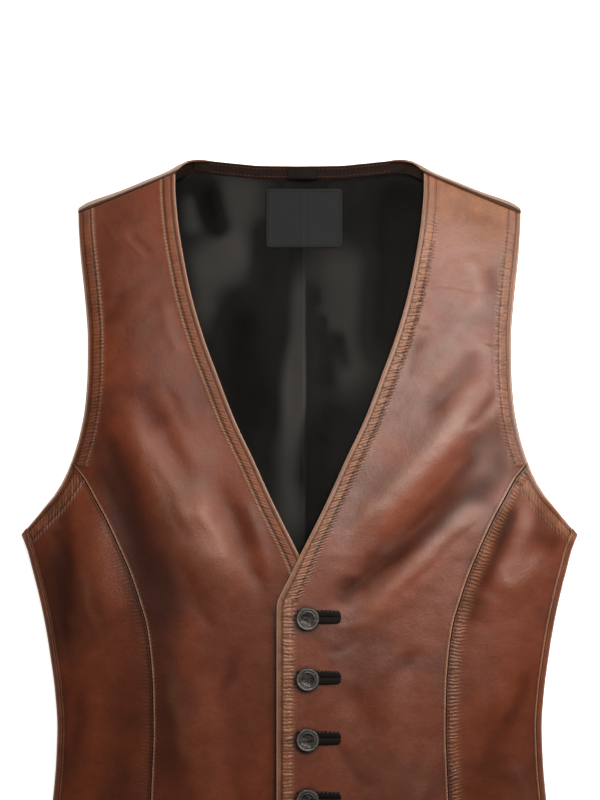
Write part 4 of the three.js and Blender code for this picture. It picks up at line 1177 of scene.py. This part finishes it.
class VEST_OT_hanger_loop(bpy.types.Operator):
    """Make the tape loop for hanging, lying flat at both ends"""
    bl_idname = "vest.hanger_loop"
    bl_label = "Hanger loop"

    def execute(self, context):
        part = np.linspace(0, 1, 41)[None, :]
        across = np.linspace(0, 1, 13)[:, None]
        x = 2.5 + 25 * (part - 0.5) + 0 * across
        drop = top_line(np.abs(x)) + mix(1.2, 11.2, across)
        bow = 1.4 * np.sin(math.pi * part) ** 2
        edge = 0.25 * np.clip(1 - np.minimum(across, 1 - across) * 10, 0, 1)
        points = to_points(1, x, drop, LEATHER + GAP + LINING + GAP + 1.0 + bow - edge)
        piece = new_piece(context, "tape_hanger_loop", add_grid(points), "tape",
                          ["hanger_loop"], thickness=0.0009)
        return {"FINISHED"}


def button_seat(drop):
    """Height of a button's underside, clear of the buttonhole strip below it."""
    angle = np.linspace(0, 2 * math.pi, 9)[:-1]
    top = front_height(LEFT, BUTTON_OUT + 6.5 * np.cos(angle), drop + 6.5 * np.sin(angle)).max()
    return float(top) + WELT_CLEARANCE + WELT_THICKNESS + GAP


def bored(context, piece, spots, radius, deep):
    """Cut round holes down through a piece at places in metres."""
    bm = bmesh.new()
    for spot in spots:
        bmesh.ops.create_cone(bm, cap_ends=True, segments=20, radius1=radius, radius2=radius,
                              depth=deep, matrix=Matrix.Translation(spot))
    cutter = link_object(context, "cutter", to_mesh("cutter", bm))
    cut = piece.modifiers.new("holes", "BOOLEAN")
    cut.object = cutter
    cut.solver = "EXACT"
    context.view_layer.update()
    shape = bpy.data.meshes.new_from_object(piece.evaluated_get(context.evaluated_depsgraph_get()))
    piece.modifiers.clear()
    piece.data = shape
    bpy.data.objects.remove(cutter)


# Half the turned outline of a button: radius, height
BUTTON_PROFILE = (
    (0.001, 0), (6.5, 0), (8.4, 0.35), (9.3, 0.9), (9.85, 1.6), (10, 2.3), (9.95, 3.0),
    (9.7, 3.5), (9.3, 3.82), (8.8, 3.9), (8.3, 3.8), (7.95, 3.5), (7.6, 3.2), (7.1, 3.12),
    (6.7, 3.3), (6.3, 3.42), (5.95, 3.3), (5.6, 2.9), (5.1, 2.5), (4.2, 2.2), (3.0, 2.05),
    (1.6, 1.98), (0.001, 1.95),
)


def turned_button(middle):
    """A bmesh of a button turned about its middle, with painted highlight rings on its rims."""
    bm = bmesh.new()
    verts = [bm.verts.new(middle + Vector((r, 0, z)) * MM) for r, z in BUTTON_PROFILE]
    edges = [bm.edges.new(pair) for pair in zip(verts, verts[1:])]
    bmesh.ops.spin(bm, geom=verts + edges, cent=middle, axis=(0, 0, 1),
                   angle=2 * math.pi, steps=72, use_merge=True)
    bmesh.ops.remove_doubles(bm, verts=bm.verts, dist=0.00001)
    bmesh.ops.recalc_face_normals(bm, faces=bm.faces)
    layer = bm.verts.layers.float.new("wear")
    for vert in bm.verts:
        local = (vert.co - middle) / MM
        radius = math.hypot(local.x, local.y)
        # Painted highlight rings on the top of the rim
        rim = 0.8 * bell(radius - 8.5, 0.4) + 0.3 * bell(radius - 6.3, 0.4)
        vert[layer] = min(1, rim) if local.z > 3 else 0
    return bm


class VEST_OT_buttons(bpy.types.Operator):
    """Make the four horn buttons with their holes and thread"""
    bl_idname = "vest.buttons"
    bl_label = "Buttons"

    def execute(self, context):
        up = Vector((0, 0, 1))
        for index, drop in enumerate(BUTTON_DROPS):
            middle = Vector((BUTTON_OUT, LENGTH / 2 - drop, button_seat(drop))) * MM
            node = f"button_{index + 1}"
            piece = new_piece(context, f"horn_{node}", turned_button(middle), "horn", [node])
            angle = 0.9 + 0.35 * index
            way = Vector((math.cos(angle), math.sin(angle), 0))
            spots = [middle + way * (side_way * 0.0016) + up * 0.001 for side_way in (-1, 1)]
            bored(context, piece, spots, 0.00085, 0.012)
            # Two threads from hole to hole, and the shank below the button
            bm = bmesh.new()
            turn = way.to_track_quat("X", "Z").to_matrix().to_4x4()
            size = Matrix.Diagonal((0.0021, 0.00028, 0.00028, 1))
            for offset in (-0.3, 0.3):
                spot = middle + way.cross(up) * (offset * MM) + up * 0.0021
                bmesh.ops.create_uvsphere(bm, u_segments=8, v_segments=8, radius=1,
                                          matrix=Matrix.Translation(spot) @ turn @ size)
            bmesh.ops.create_cone(
                bm, cap_ends=True, segments=14, radius1=0.0013, radius2=0.0011, depth=0.0022,
                matrix=Matrix.Translation(middle - up * 0.0006))
            new_piece(context, f"thread_{node}", bm, "thread")
        return {"FINISHED"}


class VEST_OT_buttonholes(bpy.types.Operator):
    """Make the bound buttonholes, two dark lips with a slit between them"""
    bl_idname = "vest.buttonholes"
    bl_label = "Buttonholes"

    def execute(self, context):
        # Places across the front from under the button to the strip's rounded end
        out = np.linspace(-2, 35.5, 60)[None, :]
        end = np.clip((35.5 - out) / 2.5, 0, 1)
        half = (6.1 - 0.6 * smooth((out - 20) / 16)) * np.sqrt(1 - (1 - end) ** 2 * 0.75)
        v = np.linspace(-1, 1, 31)[:, None]
        lips = np.abs(np.sin(math.pi * np.clip(np.abs(v), 0.02, 0.98))) ** 0.6
        rise = 0.9 + 0.7 * lips - 0.6 * bell(v, 0.06) * smooth((33 - out) / 3)
        rise = rise + 0.06 * np.sin(out * 2 * math.pi / 1.3)
        for index, button_drop in enumerate(BUTTON_DROPS):
            drop = button_drop - 1.2 + v * half
            z = front_height(LEFT, out, drop) + crease_height(LEFT, out, drop) + rise
            points = to_points(1, out + 0 * v, drop, z)
            node = f"buttonhole_{index + 1}"
            piece = new_piece(context, f"bound_{node}", add_grid(points), "tape",
                              [node], thickness=0.0008)
            rim = [points[2] + (0, 0, 0.25)]
            new_stitches(context, f"stitches_{node}", rim, material="pale_thread")
        return {"FINISHED"}


class VEST_OT_stage(bpy.types.Operator):
    """Make the floor, the lights and the camera"""
    bl_idname = "vest.stage"
    bl_label = "Stage"

    def execute(self, context):
        scene = context.scene
        bm = bmesh.new()
        bmesh.ops.create_grid(bm, x_segments=1, y_segments=1, size=2.5)
        bmesh.ops.translate(bm, verts=bm.verts, vec=(0, 0, -0.0002))
        mesh = to_mesh("floor", bm)
        mesh.materials.append(material_for(context, "floor"))
        floor = link_object(context, "floor", mesh)

        # Name, place, aimed at, width, depth, watts, turn. The key light hangs low over the
        # left front and is turned to lie along its edge, so the sheen stays on that side.
        lights = (
            ("key", (0.2, 0.15, 0.55), (0.195, 0.15, 0), 0.36, 0.56, 5.7, -0.26),
            ("side", (1.5, 0.5, 0.62), (0, 0, 0), 0.4, 0.4, 13, 0),
            ("top", (-0.5, 1.4, 0.7), (0, 0, 0), 0.4, 0.4, 16, 0),
        )
        for name, place, aim, width, depth, watts, turn in lights:
            lamp = bpy.data.lights.new(name, "AREA")
            lamp.shape = "RECTANGLE"
            lamp.size = width
            lamp.size_y = depth
            lamp.energy = watts
            lamp.color = (1, 0.87, 0.78)
            light = link_object(context, name, lamp)
            light.location = place
            aimed = (Vector(aim) - Vector(place)).to_track_quat("-Z", "Y")
            light.rotation_euler = (aimed @ Quaternion((0, 0, 1), turn)).to_euler()

        world = bpy.data.worlds.new("studio")
        world.use_nodes = True
        background = world.node_tree.nodes["Background"].inputs
        background["Color"].default_value = (1, 1, 1, 1)
        background["Strength"].default_value = 0.15
        scene.world = world
        scene.view_settings.view_transform = "Standard"

        # The picture is 688 mm tall at the vest, and its middle lies 208 mm below the neck
        lens, tall, level = 85.0, 0.688, 0.014
        lens_data = bpy.data.cameras.new("camera")
        lens_data.lens = lens
        lens_data.sensor_width = 36
        camera = link_object(context, "camera", lens_data)
        camera.location = (0.0004, 0.0919, tall * lens / 36 + level)
        scene.camera = camera
        return {"FINISHED"}


STEPS = ("back", "lining", "facing", "label", "hanger_loop", "fronts", "side_fronts",
         "buttonholes", "buttons", "stage")


class VEST_PT_panel(bpy.types.Panel):
    """The vest's pieces, sizes and colours"""
    bl_idname = "VEST_PT_panel"
    bl_label = "Leather vest"
    bl_space_type = "VIEW_3D"
    bl_region_type = "UI"
    bl_category = "Vest"

    def draw(self, context):
        layout = self.layout
        for step in STEPS:
            layout.operator(f"vest.{step}")
        for group in (context.scene.vest_sizes, context.scene.vest_colours):
            for name in group.__annotations__:
                layout.prop(group, name)


CLASSES = (
    VestSizes, VestColours, VEST_OT_fronts, VEST_OT_side_fronts, VEST_OT_back, VEST_OT_lining,
    VEST_OT_facing, VEST_OT_label, VEST_OT_hanger_loop, VEST_OT_buttons, VEST_OT_buttonholes,
    VEST_OT_stage, VEST_PT_panel,
)


def register():
    for cls in CLASSES:
        bpy.utils.register_class(cls)
    bpy.types.Scene.vest_sizes = bpy.props.PointerProperty(type=VestSizes)
    bpy.types.Scene.vest_colours = bpy.props.PointerProperty(type=VestColours)


def unregister():
    del bpy.types.Scene.vest_colours
    del bpy.types.Scene.vest_sizes
    for cls in reversed(CLASSES):
        bpy.utils.unregister_class(cls)


def main():
    register()
    for step in STEPS:
        getattr(bpy.ops.vest, step)()
    bpy.context.view_layer.update()


if __name__ == "__main__":
    main()
